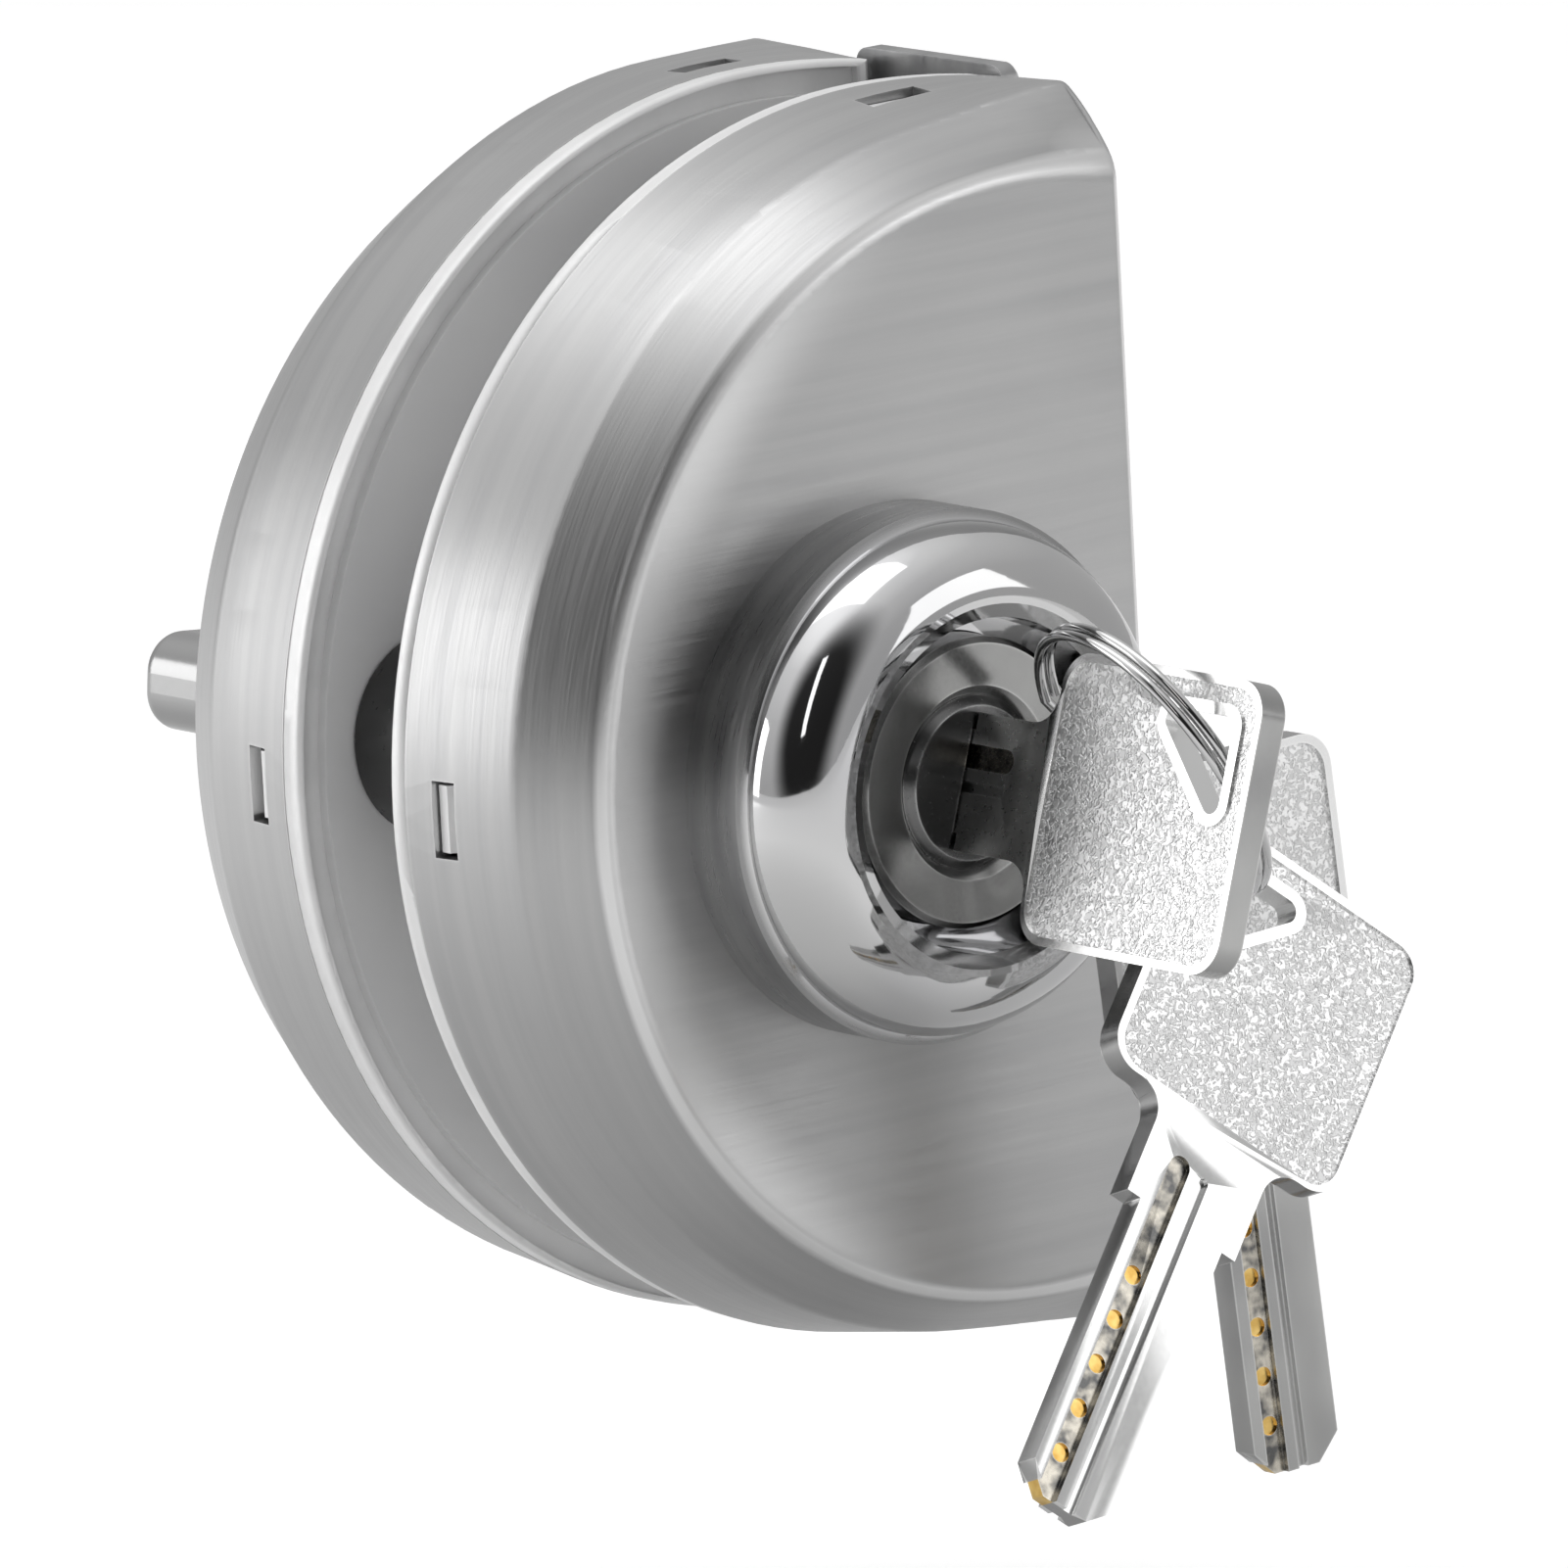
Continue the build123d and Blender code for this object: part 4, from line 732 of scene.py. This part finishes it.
def addCoil(bm, start, direction, length, radius):
    s = coilSettings
    axis = Vector(direction).normalized()
    side = axis.orthogonal().normalized()
    circle = bmesh.ops.create_circle(bm, cap_ends=False, radius=s["wire"] * mm, segments=s["wireSides"])
    ring = circle["verts"]
    turn = Matrix((side, axis, side.cross(axis))).transposed().to_4x4()
    place = Matrix.Translation(Vector(start) + side * (radius - s["wire"] * mm)) @ turn
    bmesh.ops.transform(bm, matrix=place, verts=ring)
    edges = list({edge for vert in ring for edge in vert.link_edges})
    bmesh.ops.contextual_create(bm, geom=edges)
    steps = int(s["turns"] * s["stepsPerTurn"])
    made = bmesh.ops.spin(
        bm, geom=ring + edges, cent=Vector(start), axis=axis, dvec=axis * (length / steps),
        angle=2 * math.pi * s["turns"], steps=steps, use_duplicate=False)
    last = [item for item in made["geom_last"] if isinstance(item, bmesh.types.BMEdge)]
    bmesh.ops.contextual_create(bm, geom=last)


def coilPiece(name, node, starts, direction, length, radius):
    bm = bmesh.new()
    for start in starts:
        addCoil(bm, start, direction, length, radius)
    bmesh.ops.recalc_face_normals(bm, faces=bm.faces)
    keepPiece(name, bm, [springSteel], "housing", node, coilSettings["smoothAngle"])


pinCount = 5  # one coil for each pin of the cylinder
low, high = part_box("pin_springs")
radius = (high.z - low.z) / 2
gap = 2 * coilSettings["wire"] * mm  # the end turns' thickness, so that a coil fills its tube's length
pitch = (high.y - low.y - 2 * radius) / (pinCount - 1)
first = Vector((low.x + gap / 2, low.y + radius, low.z + radius))
starts = [first + Vector((0, i * pitch, 0)) for i in range(pinCount)]
coilPiece("driver_spring_coils", "pin_springs", starts, (1, 0, 0), high.x - low.x - gap, radius)
low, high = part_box("detent_spring")
middle = (low + high) / 2
radius = (high.x - low.x) / 2
starts = [Vector((middle.x, middle.y, low.z + gap / 2))]
coilPiece("detent_spring_coil", "detent_spring", starts, (0, 0, 1), high.z - low.z - gap, radius)
print("springs wound")

# camera, at the photograph's angle
cameraSettings = dict(
    azimuth=-40.07, elevation=11.74, roll=-3.03, distance=1.5, pixelsPerMm=12.25, frame=1601.0,
    rightShift=-3.86, upShift=-7.68, aim=(16.2, 0.0, 0.36), sensor=36.0, clip=(0.05, 20.0))


def makeCamera(s):
    turn, rise, roll = (math.radians(s[key]) for key in ("azimuth", "elevation", "roll"))
    back = Vector((math.sin(turn) * math.cos(rise), -math.cos(turn) * math.cos(rise), math.sin(rise)))
    right = Vector((math.cos(turn), math.sin(turn), 0.0))
    up = back.cross(right)
    right, up = math.cos(roll) * right + math.sin(roll) * up, -math.sin(roll) * right + math.cos(roll) * up
    data = bpy.data.cameras.new("camera")
    data.sensor_width = s["sensor"]
    data.lens = s["pixelsPerMm"] * s["distance"] / mm / s["frame"] * data.sensor_width
    data.clip_start, data.clip_end = s["clip"]
    camera = bpy.data.objects.new("camera", data)
    bpy.context.scene.collection.objects.link(camera)
    place = back * s["distance"] + (right * s["rightShift"] + up * s["upShift"] + Vector(s["aim"])) * mm
    camera.matrix_world = Matrix.Translation(place) @ Matrix((right, up, back)).transposed().to_4x4()
    bpy.context.scene.camera = camera


makeCamera(cameraSettings)

# floor and studio light
# in reflections the floor is darker near the middle: a painted shadow under the lock
studioSettings = dict(
    floorDrop=0.022, floorSize=4.0, grain=40.0, blotch=2.0, floorDark=(0.93, 0.93, 0.93),
    floorLight=(0.95, 0.95, 0.95), floorRough=0.7, paintedShadowReflected=(0.58, 0.58, 0.58),
    farReflected=(0.92, 0.92, 0.92), nearFrom=0.08, farFrom=0.30, floorGlow=0.27,
    glowSeen=(1.0, 1.0, 1.0), glowReflected=(0.40, 0.40, 0.40), sky=1.5,
    brightTowards=(-0.15, 0.20, 0.968),
    skySteps=((0.0, 0.3), (0.48, 0.32), (0.62, 0.34), (0.80, 0.45), (0.92, 0.62), (1.0, 1.0)),
    patchTowards=(-0.68, -0.62, 0.40), patchFrom=0.62, patchTo=0.90, patchDepth=0.96)


def makeFloor(s):
    bm = bmesh.new()
    bmesh.ops.create_grid(bm, x_segments=1, y_segments=1, size=s["floorSize"])
    bmesh.ops.translate(bm, verts=bm.verts, vec=(0, 0, cadBox[0].z - s["floorDrop"]))
    mesh = bpy.data.meshes.new("floor")
    bm.to_mesh(mesh)
    bm.free()
    made, tree, shader, where = startMaterial("paleFloor", 0.0)
    specks = speckleNode(tree, -700, 0, where, s)
    tone = mixColour(tree, -400, 200, s["floorDark"], s["floorLight"], specks.outputs["Blotch"])
    # painted shadow: rays that are not the camera's see the floor darker near the middle, under the lock
    ray = addNode(tree, "ShaderNodeLightPath", -700, -300)
    away = addNode(tree, "ShaderNodeVectorMath", -700, 300, operation="LENGTH")
    tree.links.new(where.outputs["Object"], away.inputs[0])
    far = rangeNode(tree, -500, 300, away.outputs["Value"], s["nearFrom"], s["farFrom"],
                    interpolation_type="SMOOTHSTEP")
    reflected = mixColour(tree, -300, 350, s["paintedShadowReflected"], s["farReflected"], far)
    seen = mixColour(tree, -200, 200, reflected, tone, ray.outputs["Is Camera Ray"])
    glow = mixColour(tree, -200, -100, s["glowReflected"], s["glowSeen"], ray.outputs["Is Camera Ray"])
    tree.links.new(seen, shader.inputs["Base Color"])
    tree.links.new(glow, shader.inputs["Emission Color"])
    shader.inputs["Roughness"].default_value = s["floorRough"]
    shader.inputs["Emission Strength"].default_value = s["floorGlow"]
    mesh.materials.append(made)
    floor = bpy.data.objects.new("floor", mesh)
    bpy.context.scene.collection.objects.link(floor)


def makeSky(s):
    world = bpy.data.worlds.new("studio")
    bpy.context.scene.world = world
    world.use_nodes = True
    tree = world.node_tree
    background = tree.nodes["Background"]
    where = addNode(tree, "ShaderNodeTexCoord", -900, 0)
    weigh = addNode(tree, "ShaderNodeVectorMath", -700, 0, operation="DOT_PRODUCT")
    weigh.inputs[1].default_value = s["brightTowards"]
    tree.links.new(where.outputs["Generated"], weigh.inputs[0])
    ramp = addNode(tree, "ShaderNodeValToRGB", -300, 0)
    steps = ramp.color_ramp.elements
    for position, value in s["skySteps"][1:-1]:
        steps.new(position)
    for step, (position, value) in zip(steps, s["skySteps"]):
        step.color = (value, value, value, 1)
    tree.links.new(rangeNode(tree, -500, 0, weigh.outputs["Value"], -1.0, 1.0), ramp.inputs["Fac"])
    patch = addNode(tree, "ShaderNodeVectorMath", -700, -300, operation="DOT_PRODUCT")
    patch.inputs[1].default_value = s["patchTowards"]
    tree.links.new(where.outputs["Generated"], patch.inputs[0])
    fade = rangeNode(tree, -500, -300, patch.outputs["Value"], s["patchFrom"], s["patchTo"],
                     interpolation_type="SMOOTHSTEP")
    fade = mixValue(tree, -300, -300, 0.0, s["patchDepth"], fade)
    toned = mixColour(tree, -50, 0, ramp.outputs["Color"], (0.0, 0.0, 0.0), fade)
    tree.links.new(toned, background.inputs["Color"])
    background.inputs["Strength"].default_value = s["sky"]


def softBox(name, place, size, power):  # a soft box that looks at the lock
    data = bpy.data.lights.new(name, "AREA")
    data.shape = "RECTANGLE"
    data.size, data.size_y = size
    data.energy = power
    lamp = bpy.data.objects.new(name, data)
    bpy.context.scene.collection.objects.link(lamp)
    lamp.location = place
    lamp.rotation_euler = (-Vector(place)).to_track_quat("-Z", "Y").to_euler()


makeFloor(studioSettings)
makeSky(studioSettings)
softBoxes = {
    "topBox": dict(place=(-0.05, 0.18, 0.97), size=(0.45, 1.0), power=1.3),
    "rightBox": dict(place=(0.62, -0.92, 0.36), size=(0.5, 0.5), power=0.85),
    "backLeftBox": dict(place=(-0.76, 0.76, 0.20), size=(0.8, 0.5), power=2.6),
    "leftStrip": dict(place=(-0.70, -0.52, 0.62), size=(0.10, 0.6), power=0.35),
}
for name, settings in softBoxes.items():
    softBox(name, **settings)
bpy.context.scene.view_settings.view_transform = "Standard"
print("camera and light set")
